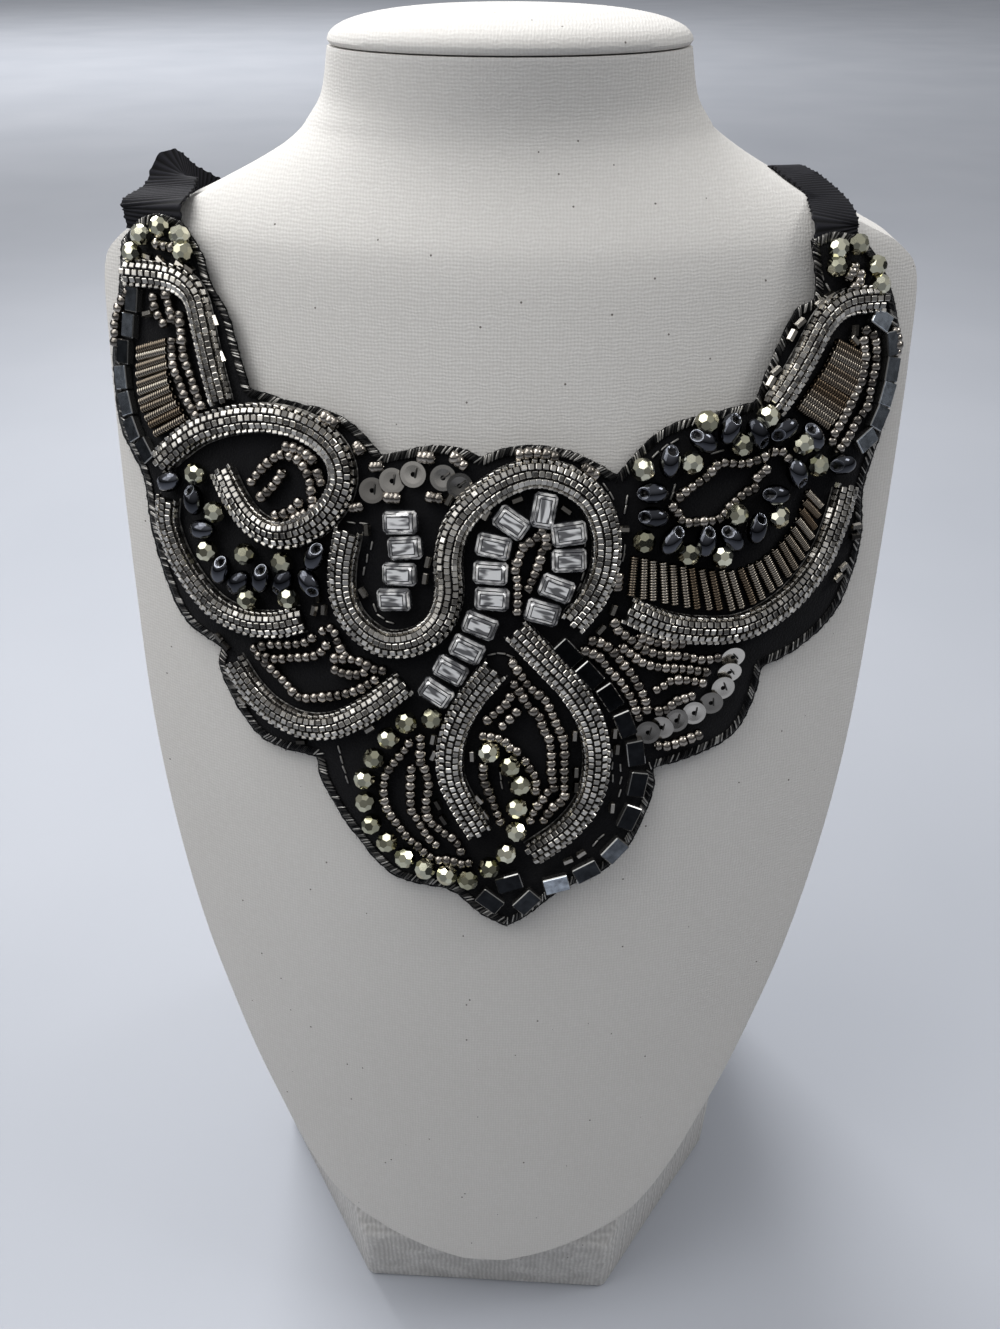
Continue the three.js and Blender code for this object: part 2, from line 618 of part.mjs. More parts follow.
// Fields of mixed beads: kind, across, up and turn on the pattern.
const fields = {
  beads_left_top: [
    ['smallFacet', -73.5, 82.4, 70], ['smallFacet', -71.9, 86, 40], ['smallFacet', -68, 87.5, 0],
    ['smallFacet', -64.1, 85.9, -40], ['smallFacet', -63.4, 82.2, -80],
  ],
  beads_right_top: [
    ['smallFacet', 67.4, 79.4, 90], ['smallFacet', 67.8, 83.2, 50], ['smallFacet', 71.7, 84, 0],
    ['smallFacet', 75.3, 80.1, -60], ['smallFacet', 76, 75.9, -70],
  ],
  tiles_left_strap: [
    ['smallTile', -73.2, 73, 82], ['smallTile', -73.9, 67.8, 81], ['smallTile', -74.9, 62.6, 82],
    ['smallTile', -75.3, 57.4, 93], ['smallTile', -74.4, 52.2, 101], ['smallTile', -73.2, 47.1, 112],
    ['smallTile', -70.7, 42.9, 121],
  ],
  tiles_right_strap: [
    ['smallTile', 76, 69, -28], ['smallTile', 78.2, 64.2, -78], ['smallTile', 78, 59, -96],
    ['smallTile', 77, 54.1, -103], ['smallTile', 75.5, 49.4, -108], ['smallTile', 73, 44.9, -126],
  ],
  beads_left_side: [
    ['facet', -60.9, 38.1, 0], ['oval', -61.3, 32.9, 90], ['facet', -57.1, 30.5, 0], ['oval', -59.6, 27, 0],
    ['facet', -58.6, 22.7, 0], ['oval', -55.8, 18.9, 65], ['facet', -51, 22.1, 0], ['oval', -52.3, 16.4, 38],
    ['facet', -50.4, 13.1, 0], ['oval', -47.7, 17.2, 70], ['facet', -43.7, 20.3, 0], ['oval', -43.4, 16.5, 55],
    ['facet', -42.3, 13.4, 0],
  ],
  ovals_left_inner: [['oval', -37.1, 21.5, 60], ['oval', -38.2, 16.4, -60]],
  beads_right_top_row: [
    ['facet', 28.6, 38.9, 0], ['oval', 34, 40.6, 88], ['facet', 38.4, 40.4, 0], ['oval', 40.7, 44.7, -30],
    ['facet', 41.4, 48.4, 0], ['oval', 46, 47.1, 70], ['facet', 48.4, 43.9, 0], ['oval', 51.5, 46.2, -60],
    ['facet', 53.6, 49.6, 0], ['oval', 56.8, 47, 30], ['facet', 60.6, 44.2, 0], ['oval', 62.6, 45.4, -55],
  ],
  beads_right_side: [
    ['oval', 68.4, 40, 5], ['facet', 63.5, 39.9, 0], ['oval', 59.4, 38.3, -65], ['oval', 55.2, 33.9, -5],
    ['facet', 55.7, 29.6, 0], ['oval', 51.4, 27.2, 85], ['facet', 47.3, 29.9, 0], ['oval', 46.4, 25.2, -45],
    ['facet', 44.4, 21.6, 0], ['oval', 41.2, 24.5, 85], ['facet', 37.8, 22.1, 0], ['oval', 34.4, 24.8, 60],
    ['facet', 28.8, 24.6, 0], ['oval', 30.7, 29.4, -5], ['oval', 30.5, 34.3, 0],
  ],
};

// A row of bugles side by side, each one a rib of a band: from its first end to its last.
function bugleRow(innerRoute, outerRoute, count) {
  const inner = new THREE.SplineCurve(innerRoute.map(([across, up]) => new THREE.Vector2(across, up)));
  const outer = new THREE.SplineCurve(outerRoute.map(([across, up]) => new THREE.Vector2(across, up)));
  const web = 0.5;
  // Across one bugle: share of its pitch, and share of its height.
  const rib = [[-0.5, 0], [-0.24, 1], [0.24, 1]];
  const rings = [];
  const addRing = (share, height) => {
    const [a, b] = [inner.getPoint(share), outer.getPoint(share)];
    rings.push([
      sight(a.x, a.y, laid),
      sight(b.x, b.y, laid),
      sight(b.x, b.y, laid + height),
      sight(a.x, a.y, laid + height),
    ]);
  };
  for (let i = 0; i < count; i += 1) {
    for (const [side, rise] of rib) {
      addRing((i + 0.5 + side) / count, web + rise * (bugleWidth - web));
    }
  }
  addRing(1, web);
  return loft(rings);
}

// A flat band through stations, each with its place, its gather and the direction of its width.
function ribbonBand(stations) {
  const curve = new THREE.CatmullRomCurve3(stations.map(({ place }) => place), false, 'centripetal');
  const last = stations.length - 1;
  const steps = 2 * last;
  const rings = [];
  for (let i = 0; i <= steps; i += 1) {
    const from = Math.min(Math.floor((i * last) / steps), last - 1);
    const mix = (i * last) / steps - from;
    const tangent = curve.getTangent(i / steps);
    const wide = new THREE.Vector3(...stations[from].wide).lerp(new THREE.Vector3(...stations[from + 1].wide), mix);
    wide.addScaledVector(tangent, -wide.dot(tangent)).normalize();
    const thick = tangent.clone().cross(wide);
    const gather = THREE.MathUtils.lerp(stations[from].gather, stations[from + 1].gather, mix);
    rings.push([[-1, -1], [1, -1], [1, 1], [-1, 1]].map(([w, t]) => curve
      .getPoint(i / steps)
      .addScaledVector(wide, (w * gather * ribbonWidth) / 2)
      .addScaledVector(thick, (t * ribbonThickness) / 2)));
  }
  return fuseHulls(rings);
}

addPiece('bust_form', bustForm(), 'bust');
addPiece('neck_cap', neckCap(), 'seam');
addPiece('bust_foot', bustFoot(), 'bust');
addPiece('bib_felt', bibFelt(), 'felt');

for (const [name, route] of Object.entries(cableRoutes)) {
  const width = name.endsWith('strap') ? strapCableWidth : cableWidth;
  const cableSides = 8;
  const cableSpacing = 5.5;
  const cable = laidTube(route, width, cableHeight, laid + cableHeight / 2, cableSides, cableSpacing);
  addPiece(`mesh_cable_${name}`, cable, 'cable');
}

stonePlaces.forEach(([across, up, turn], i) => {
  const stone = addPiece(`stone_${i + 1}`, cutStone(), 'stone');
  const place = seat(across, up, turn, laid + stoneHeight / 2);
  place.decompose(stone.position, stone.quaternion, stone.scale);
});

for (const [name, [kind, points]] of Object.entries(strings)) {
  addPiece(name, beadString(kind, points), { facet: 'bead', tile: 'tile', sequin: 'sequin' }[kind]);
}
for (const [name, places] of Object.entries(fields)) {
  addPiece(name, beadField(places), { smallFacet: 'bead', smallTile: 'tile' }[places[0][0]] ?? 'hematite');
}

addPiece('bugles_left_strap', bugleRow(
  [[-72.4, 63.9], [-72.5, 58], [-71.7, 51.4], [-68.6, 45.4]],
  [[-66.3, 65.4], [-66.2, 60.6], [-65.4, 54.8], [-62.2, 48.9]],
  11,
), 'bugle');
addPiece('bugles_right_fan', bugleRow(
  [[25.9, 21.9], [33, 20.6], [41, 19.2], [48, 19.4], [54, 22.6], [58.6, 28], [61.6, 35.6]],
  [[25.2, 13.9], [33, 12.1], [41, 10.9], [49, 11.4], [56.5, 16.4], [61.6, 23.4], [64.4, 32.8]],
  23,
), 'bugle');
addPiece('bugles_right_strap', bugleRow(
  [[67.4, 65.2], [64.9, 60], [61.6, 55], [58.9, 51.2]],
  [[73.3, 61.9], [71.4, 56.2], [68.4, 50.8], [65.3, 46.8]],
  13,
), 'bugle');

// The ribbons over the shoulders and behind the neck. Each starts at a place on the pattern.
// Each bend gives its share of half the bust's width, its share of the way from the chest's
// flat back to the back of the neck, how far up the chest it is, the share of the ribbon's
// width left where it gathers, and the direction from the band's outer edge to its inner edge.
const claspPlace = [0, 0.505, 0.868];
const ribbonRoutes = {
  ribbon_left: {
    start: [-69.6, 92.1],
    gather: 0.92,
    wide: [0.9, -0.42, 0],
    bends: [
      [-0.812, -0.266, 0.912, 0.8, 0.85, -0.5, 0],
      [-0.808, -0.119, 0.923, 0.7, 0.15, -0.78, -0.6],
      [-0.782, 0.16, 0.915, 0.6, 0.13, -0.33, -0.93],
      [-0.702, 0.305, 0.897, 0.8, 0.05, -0.15, -0.98],
      [-0.56, 0.389, 0.879, 1, 0, -0.1, -1],
      [-0.262, 0.483, 0.869, 1, 0, 0, -1],
    ],
  },
  ribbon_right: {
    start: [67.2, 88.4],
    gather: 0.62,
    wide: [0.87, 0.49, 0],
    bends: [
      [0.76, -0.325, 0.911, 0.55, 0.7, 0.7, 0.1],
      [0.722, -0.124, 0.921, 0.55, 0.35, 0.9, 0.1],
      [0.692, 0.104, 0.923, 0.5, 0.3, 0.9, -0.2],
      [0.631, 0.337, 0.908, 0.55, 0.15, 0.45, -0.85],
      [0.512, 0.433, 0.886, 0.85, 0, 0.1, -1],
      [0.262, 0.494, 0.868, 1, 0, 0, -1],
    ],
  },
};

function bustPlace([side, back, climb]) {
  const height = tipHeight + climb * (seamHeight - tipHeight);
  const flatBack = bustBack(height);
  const depth = flatBack + back * (neckY + neckDepth / 2 - flatBack);
  return new THREE.Vector3((side * bustWidth) / 2, depth, height);
}

for (const [name, { start, gather, wide, bends }] of Object.entries(ribbonRoutes)) {
  const end = bustPlace(claspPlace);
  end.x = Math.sign(start[0]) * (claspWidth / 2 + clearance);
  addPiece(name, ribbonBand([
    { place: sight(...start, laid), gather, wide },
    ...bends.map((bend) => ({ place: bustPlace(bend), gather: bend[3], wide: bend.slice(4) })),
    { place: end, gather: 1, wide: [0, 0, -1] },
  ]), 'ribbon');
}
const clasp = addPiece('ribbon_clasp', new THREE.BoxGeometry(claspWidth, claspThickness, ribbonWidth + 2), 'clasp');
clasp.position.copy(bustPlace(claspPlace));

export default model;
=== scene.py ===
import math
import random

import bpy
from mathutils import Matrix, Vector


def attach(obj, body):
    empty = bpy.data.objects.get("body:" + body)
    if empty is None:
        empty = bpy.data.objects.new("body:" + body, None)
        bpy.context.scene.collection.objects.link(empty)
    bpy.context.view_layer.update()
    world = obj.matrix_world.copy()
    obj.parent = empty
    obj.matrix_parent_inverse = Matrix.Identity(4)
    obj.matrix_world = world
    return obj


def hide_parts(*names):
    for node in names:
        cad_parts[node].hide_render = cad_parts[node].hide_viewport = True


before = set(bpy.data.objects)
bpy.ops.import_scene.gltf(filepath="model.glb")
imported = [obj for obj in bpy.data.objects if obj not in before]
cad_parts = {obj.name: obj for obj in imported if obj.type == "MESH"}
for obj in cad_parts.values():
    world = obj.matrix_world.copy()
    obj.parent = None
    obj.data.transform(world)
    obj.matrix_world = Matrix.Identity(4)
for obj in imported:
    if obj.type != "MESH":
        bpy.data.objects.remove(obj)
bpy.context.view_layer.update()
bpy.ops.object.select_all(action="DESELECT")
random.seed(7)

# Sizes are in millimetres here and turned to metres when a mesh is made.
millimetre = 0.001
chest = {
    "width": 168, "tipHeight": 26.5, "tipForward": 59.5, "seamHeight": 285, "lean": 87,
    "bulge": 6.2, "radius": 140, "rim": 7, "backAngle": 23.5, "neckWidth": 73, "neckDepth": 60,
}
bib = {"gap": 0.45, "felt": 2, "clearance": 0.3}
# The eye looks down on the chest. The pattern is given on a plate 200 mm in front of it, of which
# the picture covers 265.8 mm from top to bottom.
eye = {"place": Vector((10.4, -177.5, 302.1)), "pitch": 36, "turn": 3, "plate": 200, "picture": 265.8}
laid = bib["gap"] + bib["felt"] + bib["clearance"]
neckY = chest["lean"] - chest["tipForward"] + chest["neckDepth"] / 2
tall = chest["seamHeight"] - chest["tipHeight"]


# The chest and the places on it
def chestFront(x, z):
    climb = (z - chest["tipHeight"]) / tall
    bulge = 4 * chest["bulge"] * climb * (1 - climb)
    return -chest["tipForward"] + chest["lean"] * climb - bulge + x * x / (2 * chest["radius"])


def chestNormal(x, z):
    climb = (z - chest["tipHeight"]) / tall
    rise = (chest["lean"] - 4 * chest["bulge"] * (1 - 2 * climb)) / tall
    return Vector((x / chest["radius"], -1, rise)).normalized()


def bustBack(z):
    slope = math.tan(math.radians(chest["backAngle"]))
    return -chest["tipForward"] + chest["rim"] + slope * (z - chest["tipHeight"])


sightTurn = Matrix.Rotation(math.radians(eye["turn"]), 3, "Z")
sightTurn = sightTurn @ Matrix.Rotation(-math.radians(eye["pitch"]), 3, "X")


def sight(across, up, lift):
    # the pattern's place thrown along its line of sight onto the chest
    direction = sightTurn @ Vector((across, eye["plate"], up)) / eye["plate"]
    reach = eye["plate"]
    for _ in range(9):
        point = eye["place"] + direction * reach
        normal = chestNormal(point.x, point.z)
        height = (point.y - chestFront(point.x, point.z)) * normal.y
        reach += (height - lift) / -normal.dot(direction)
    return eye["place"] + direction * reach


def seat(across, up, turn, lift, tilt=0.0):
    origin = sight(across, up, lift)
    normal = chestNormal(origin.x, origin.z)
    along = sight(across + 1, up, lift) - origin
    along = (along - normal * along.dot(normal)).normalized()
    along = Matrix.Rotation(math.radians(turn), 3, normal) @ along
    side = normal.cross(along)
    basis = Matrix((along, side, normal)).transposed().to_4x4()
    return Matrix.Translation(origin) @ basis @ Matrix.Rotation(math.radians(tilt), 4, "Y")


def smoothBetween(a, b, c, d, t):
    # a place on the smooth line from b to c, a share t of the way
    return [
        0.5 * (2 * q + (r - p) * t + (2 * p - 5 * q + 4 * r - w) * t * t + (3 * q - p - 3 * r + w) * t ** 3)
        for p, q, r, w in zip(a, b, c, d)
    ]


def curvePoints(points, spacing, steps=14):
    # a smooth line through the points, cut into even steps
    dense = []
    last = len(points) - 1
    for i in range(last):
        a, b, c, d = (points[max(0, min(last, i + k))] for k in (-1, 0, 1, 2))
        dense += [smoothBetween(a, b, c, d, s / steps) for s in range(steps)]
    dense.append(list(points[-1]))
    lengths = [0.0]
    for a, b in zip(dense, dense[1:]):
        lengths.append(lengths[-1] + math.dist(a, b))
    count = max(2, round(lengths[-1] / spacing))
    found, k = [], 0
    for i in range(count + 1):
        want = lengths[-1] * i / count
        while k < len(dense) - 2 and lengths[k + 1] < want:
            k += 1
        share = (want - lengths[k]) / max(1e-9, lengths[k + 1] - lengths[k])
        found.append([a + (b - a) * share for a, b in zip(dense[k], dense[k + 1])])
    return found


# Colours and materials
def hexColour(text):
    parts = [int(text[i:i + 2], 16) / 255 for i in (1, 3, 5)]
    return tuple(p / 12.92 if p <= 0.04045 else ((p + 0.055) / 1.055) ** 2.4 for p in parts) + (1.0,)


def perMetre(size):
    # a pattern's scale from the size in millimetres of what repeats in it
    return 1 / (size * millimetre)


def startMaterial(name, **values):
    material = bpy.data.materials.new(name)
    material.use_nodes = True
    shader = material.node_tree.nodes["Principled BSDF"]
    for key, value in values.items():
        shader.inputs[key.replace("_", " ")].default_value = value
    return material, shader


def joinTo(material, output, socket):
    material.node_tree.links.new(output, socket)


def addNode(material, kind, inputs=None, output=0, **settings):
    # adds a node with its settings and links, and gives one of its outputs
    node = material.node_tree.nodes.new(kind)
    for key, value in settings.items():
        setattr(node, key, value)
    for key, value in (inputs or {}).items():
        if isinstance(value, bpy.types.NodeSocket):
            joinTo(material, value, node.inputs[key])
        else:
            node.inputs[key].default_value = hexColour(value) if isinstance(value, str) else value
    return node.outputs[output]


def finishMaterial(material, shader, colour, relief=None):
    joinTo(material, colour, shader.inputs["Base Color"])
    if relief is not None:
        joinTo(material, relief, shader.inputs["Normal"])
    return material


# settings of the nodes that come often: the place on the object, a blend of two colours, noise, a bump
objectPlace = {"kind": "ShaderNodeTexCoord", "output": "Object"}
blend = {"kind": "ShaderNodeMix", "output": 2, "data_type": "RGBA"}
noise = {"kind": "ShaderNodeTexNoise", "output": "Fac"}
bump = {"kind": "ShaderNodeBump", "output": "Normal"}
# attributes of the meshes: how light a piece is in its finish, painted light on the ribbon's ribs and the
# glass tiles, and the place on its own master
tint = {"kind": "ShaderNodeAttribute", "output": "Fac", "attribute_name": "tint"}
ownPlace = {"kind": "ShaderNodeAttribute", "output": "Vector", "attribute_name": "local"}
waveLength = 0.314  # a wave texture's wavelength at scale 1

# hollowShade: the colour painted into the hollows between threads and ribs, a painted shade
bookCloth = {"thread": 0.65, "depth": 0.16, "directions": ("X", "Z"), "hollowShade": "#c4c1bc"}
ribbedCloth = {"thread": 1.2, "depth": 0.6, "directions": ("X", "Y"), "hollowShade": "#94918d"}


# Book cloth glued over board: plain weave, matt, its threads closer than the eye can part.
# On the foot its ribs are coarser and deeper. Slubs and a few dark specks break the weave.
def coverCloth(name, cloth):
    material, shader = startMaterial(name, Roughness=0.88, Specular_IOR_Level=0.25)
    place = addNode(material, **objectPlace)
    waves = [
        addNode(material, "ShaderNodeTexWave", {
            "Vector": place, "Scale": waveLength * perMetre(cloth["thread"]),
            "Distortion": 5.0, "Detail": 3.0, "Detail Scale": 0.9,
        }, "Fac", bands_direction=direction)
        for direction in cloth["directions"]
    ]
    weave = addNode(material, "ShaderNodeMath", {0: waves[0], 1: waves[1]}, operation="ADD")
    slub = addNode(material, **noise, inputs={"Vector": place, "Scale": perMetre(1.111), "Detail": 3.0})
    cloud = addNode(material, **noise, inputs={"Vector": place, "Scale": perMetre(62.5), "Detail": 3.0})
    rough = addNode(material, "ShaderNodeMath", {0: weave, 1: slub}, operation="MULTIPLY")
    # darker in the hollows of the weave and ribs: painted shade, varied by the slubs in the thread
    ground = addNode(material, **blend, inputs={0: rough, 6: cloth["hollowShade"], 7: "#d8d6d2"})
    soiled = addNode(material, **blend, inputs={0: cloud, 6: "#cfccc7", 7: "#dedcd9"})
    colour = addNode(material, **blend, inputs={0: 0.45, 6: ground, 7: soiled})
    fleck = addNode(material, "ShaderNodeTexVoronoi", {"Vector": place, "Scale": perMetre(4.762)}, "Distance")
    speck = addNode(material, "ShaderNodeMath", {0: fleck, 1: 0.045}, operation="LESS_THAN")
    colour = addNode(material, **blend, inputs={0: speck, 6: colour, 7: "#6e6964"})
    depth = cloth["depth"] * millimetre
    relief = addNode(material, **bump, inputs={"Height": rough, "Strength": 0.3, "Distance": depth})
    return finishMaterial(material, shader, colour, relief)


# Pressed wool felt dyed black: no gloss, a faint nap.
def blackFelt():
    material, shader = startMaterial("blackFelt", Roughness=0.96, Specular_IOR_Level=0.15, Sheen_Weight=0.12)
    place = addNode(material, **objectPlace)
    nap = addNode(material, **noise, inputs={"Vector": place, "Scale": perMetre(0.3846), "Detail": 4.0})
    colour = addNode(material, **blend, inputs={0: nap, 6: "#050506", 7: "#17171a"})
    relief = addNode(material, **bump, inputs={"Height": nap, "Strength": 0.7, "Distance": 0.3 * millimetre})
    return finishMaterial(material, shader, colour, relief)


# Grosgrain ribbon, black rayon: its cross ribs are in the mesh, their crests painted grey as a painted
# highlight and their troughs near-black as painted shade.
def grosgrain():
    material, shader = startMaterial("grosgrain", Roughness=0.8, Specular_IOR_Level=0.2)
    place = addNode(material, **objectPlace)
    fibre = addNode(material, **noise, inputs={"Vector": place, "Scale": perMetre(0.3125), "Detail": 2.0})
    colour = addNode(material, **blend, inputs={0: addNode(material, **tint), 6: "#020203", 7: "#24242a"})
    relief = addNode(material, **bump, inputs={
        "Height": fibre, "Strength": 0.4, "Distance": 0.1 * millimetre,
    })
    return finishMaterial(material, shader, colour, relief)


# A finish whose pieces differ a little from one to the next, with fine scratches where asked.
def tintedMetal(name, low, high, roughness, scratch=0.0, metallic=1.0):
    material, shader = startMaterial(name, Metallic=metallic, Roughness=roughness)
    colour = addNode(material, **blend, inputs={0: addNode(material, **tint), 6: low, 7: high})
    relief = None
    if scratch:
        place = addNode(material, **objectPlace)
        marks = addNode(material, **noise, inputs={"Vector": place, "Scale": perMetre(0.5556), "Detail": 3.0})
        relief = addNode(material, **bump, inputs={
            "Height": marks, "Strength": scratch, "Distance": 0.1 * millimetre,
        })
    return finishMaterial(material, shader, colour, relief)


cutStone = {"length": 7.1, "width": 4.9, "height": 3.2, "step": 0.62, "lineShare": 0.3, "tableSteps": 2.3}


# Foil-backed step-cut crystal: steps drawn in fine dark lines round a table with bright streaks of painted
# reflection.
def foilStone():
    material, shader = startMaterial(
        "foiledCrystal", Metallic=0.25, Roughness=0.12, Coat_Weight=1.0, Coat_Roughness=0.02,
    )
    local = addNode(material, **ownPlace)
    place = addNode(material, **objectPlace)
    parts = addNode(material, "ShaderNodeSeparateXYZ", {0: local}).node.outputs
    depths = []
    for index, side in enumerate(("length", "width")):
        across = addNode(material, "ShaderNodeMath", {0: parts[index]}, operation="ABSOLUTE")
        inwards = {0: cutStone[side] / 2, 1: across}
        depths.append(addNode(material, "ShaderNodeMath", inwards, operation="SUBTRACT"))
    depth = addNode(material, "ShaderNodeMath", {0: depths[0], 1: depths[1]}, operation="MINIMUM")
    turns = addNode(material, "ShaderNodeMath", {0: depth, 1: cutStone["step"]}, operation="DIVIDE")
    part = addNode(material, "ShaderNodeMath", {0: turns}, operation="FRACT")
    line = addNode(material, "ShaderNodeMath", {0: part, 1: cutStone["lineShare"]}, operation="LESS_THAN")
    # bright patches over the steps: painted reflection
    ring = addNode(material, **noise, inputs={"Vector": place, "Scale": perMetre(2.0833), "Detail": 1.0})
    shine = addNode(material, "ShaderNodeMapRange", {"Value": ring, 1: 0.4, 2: 0.58, 3: 0.0, 4: 1.0})
    steps = addNode(material, **blend, inputs={0: shine, 6: "#717173", 7: "#fbfaf8"})
    steps = addNode(material, **blend, inputs={0: line, 6: steps, 7: "#303134"})
    # streaks along the table, other ones in each stone: painted reflection
    drawn = addNode(material, "ShaderNodeVectorMath", {0: local, 1: (0.3, 1.5, 1.0)}, operation="MULTIPLY")
    moved = {0: place, 1: (150.0, 150.0, 150.0), 2: drawn}
    moved = addNode(material, "ShaderNodeVectorMath", moved, operation="MULTIPLY_ADD")
    streak = addNode(material, **noise, inputs={"Vector": moved, "Scale": 0.8, "Detail": 0.5})
    tableReflection = addNode(material, "ShaderNodeMapRange", {"Value": streak, 1: 0.4, 2: 0.55, 3: 0.0, 4: 1.0})
    table = addNode(material, **blend, inputs={0: tableReflection, 6: "#747476", 7: "#ffffff"})
    tableDepth = cutStone["step"] * cutStone["tableSteps"]
    inside = addNode(material, "ShaderNodeMath", {0: depth, 1: tableDepth}, operation="GREATER_THAN")
    colour = addNode(material, **blend, inputs={0: inside, 6: steps, 7: table})
    return finishMaterial(material, shader, colour)


glassTile = {"size": (5.5, 3.7, 1.9), "bevel": 0.24, "rim": 0.17, "strapShare": (0.87, 0.91), "lift": 1.0}


# Back-silvered glass tile: a dark mirror, its face painted lighter or darker as painted reflection and its
# edge painted pale as a painted highlight.
def mirrorTile():
    material, shader = startMaterial("silveredGlass", Metallic=0.9, Roughness=0.07)
    parts = addNode(material, "ShaderNodeSeparateXYZ", {0: addNode(material, **ownPlace)}).node.outputs
    # a band round the edge, painted pale as a painted highlight
    edges = []
    for index in (0, 1):
        reach = glassTile["size"][index] / 2 - glassTile["rim"]
        across = addNode(material, "ShaderNodeMath", {0: parts[index]}, operation="ABSOLUTE")
        edges.append(addNode(material, "ShaderNodeMath", {0: across, 1: reach}, operation="GREATER_THAN"))
    rim = addNode(material, "ShaderNodeMath", {0: edges[0], 1: edges[1]}, operation="MAXIMUM")
    place = addNode(material, **objectPlace)
    mottle = addNode(material, **noise, inputs={"Vector": place, "Scale": perMetre(1.4286), "Detail": 3.0})
    # each tile's face lighter or darker by its tint: painted reflection
    lightness = addNode(material, **tint)
    depth = addNode(material, "ShaderNodeMath", {0: lightness, 1: mottle}, operation="MULTIPLY")
    face = addNode(material, **blend, inputs={0: depth, 6: "#0b0b0e", 7: "#cfd8e2"})
    # the pale band round the edge over the face: painted highlight
    colour = addNode(material, **blend, inputs={0: rim, 6: face, 7: "#8b8a87"})
    return finishMaterial(material, shader, colour)


bugle = {
    "length": 7.8, "radius": 0.9, "wire": 0.18, "turns": 15, "sides": 9, "bore": 0.45, "stretch": (0.94, 1.0),
}


# Coiled wire, plated bronze and pewter: each turn keeps its plated colour on its back and is painted dark in
# the groove, a painted shade.
def coiledWire():
    material, shader = startMaterial("coiledWire", Metallic=1.0, Roughness=0.27)
    along = addNode(material, "ShaderNodeSeparateXYZ", {0: addNode(material, **ownPlace)})
    turn = 2 * math.pi * bugle["turns"] / bugle["length"]
    phase = addNode(material, "ShaderNodeMath", {0: along, 1: turn}, operation="MULTIPLY")
    wave = addNode(material, "ShaderNodeMath", {0: phase}, operation="COSINE")
    back = addNode(material, "ShaderNodeMapRange", {"Value": wave, 1: -0.7, 2: 0.4, 3: 0.0, 4: 1.0})
    plated = addNode(material, **blend, inputs={0: addNode(material, **tint), 6: "#6d5d4a", 7: "#bdb5a8"})
    # near-black in the grooves between turns: painted shade
    colour = addNode(material, **blend, inputs={0: back, 6: "#1b1611", 7: plated})
    return finishMaterial(material, shader, colour)


materials = {
    "cover": coverCloth("bookCloth", bookCloth),
    "ribbed": coverCloth("ribbedBookCloth", ribbedCloth),
    "felt": blackFelt(),
    "ribbon": grosgrain(),
    # woven steel wire mesh, lacquered pale champagne: each cell glints by itself
    "mesh": tintedMetal("wovenWire", "#5d5a56", "#dad6ce", 0.22, 0.2),
    # the core that shows in the gaps between the cells, painted near-black as the painted shade in the gaps
    "core": tintedMetal("gapShadeCore", "#0c0b0a", "#0c0b0a", 0.55, 0.0, 0.6),
    # fire-polished beads, metallic coated in a pale green silver: sharp glints on flat facets
    "facet": tintedMetal("coatedCrystal", "#8b8970", "#e9e7d0", 0.09),
    # hematite, a polished iron ore: nearly black with a metal shine; the floor of its hole painted darker as
    # painted shade, the rim round the hole painted pale as a painted highlight
    "oval": tintedMetal("hematite", "#25262a", "#5b5d63", 0.08),
    "window": tintedMetal("hematiteHoleShade", "#050507", "#0b0c0f", 0.12, 0.0, 0.6),
    "lip": tintedMetal("hematiteRimHighlight", "#7d8087", "#a9acb3", 0.2),
    "tile": mirrorTile(),
    "coil": coiledWire(),
    # glass seed beads, fired with a bronze-grey metal: small round highlights
    "seed": tintedMetal("platedGlass", "#3a3632", "#b4ada4", 0.16),
    # cut glass tubes with the same plating, some bright and some dark
    "bit": tintedMetal("platedTube", "#2a2724", "#d9d3c8", 0.18),
    # sequins stamped from metallized foil: flat, bright or grey as they tip
    "sequin": tintedMetal("pressedFoil", "#6b6864", "#f0ebe2", 0.2),
    "stone": foilStone(),
    # thread wrapped in a metal strip: black with bright turns
    "thread": tintedMetal("metalThread", "#08080a", "#c9c6c0", 0.35, 0.0, 0.8),
    # loose ends of black sewing thread and wool
    "fibre": tintedMetal("looseFibre", "#0a0a0c", "#1d1d22", 0.8, 0.0, 0.0),
    # stamped steel, plain, with a brushed grey shine
    "clasp": tintedMetal("stampedSteel", "#8d8982", "#b5b1aa", 0.3, 0.3),
}
print("materials made:", len(materials))


# Meshes
def finishPiece(piece, replaced):
    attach(piece, "root")
    if replaced:
        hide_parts(*replaced)
    return piece


def makeMesh(name, points, faces, keys, smooth=True, faceKeys=None, tints=None, localPoints=None):
    mesh = bpy.data.meshes.new(name)
    mesh.from_pydata([[c * millimetre for c in p] for p in points], [], faces)
    for key in keys:
        mesh.materials.append(materials[key])
    if faceKeys:
        mesh.polygons.foreach_set("material_index", faceKeys)
    if isinstance(smooth, list):
        mesh.polygons.foreach_set("use_smooth", smooth)
    else:
        mesh.polygons.foreach_set("use_smooth", [smooth] * len(faces))
    if tints:
        mesh.attributes.new("tint", "FLOAT", "POINT").data.foreach_set("value", tints)
    if localPoints:
        flat = [c for p in localPoints for c in p]
        mesh.attributes.new("local", "FLOAT_VECTOR", "POINT").data.foreach_set("vector", flat)
    mesh.update()
    piece = bpy.data.objects.new(name, mesh)
    bpy.context.scene.collection.objects.link(piece)
    return piece


def ringFaces(count, rows, capped=True):
    faces = []
    for row in range(rows - 1):
        for i in range(count):
            j = (i + 1) % count
            faces.append([row * count + i, row * count + j, (row + 1) * count + j, (row + 1) * count + i])
    if capped:
        faces.append(list(range(count - 1, -1, -1)))
        faces.append([(rows - 1) * count + i for i in range(count)])
    return faces


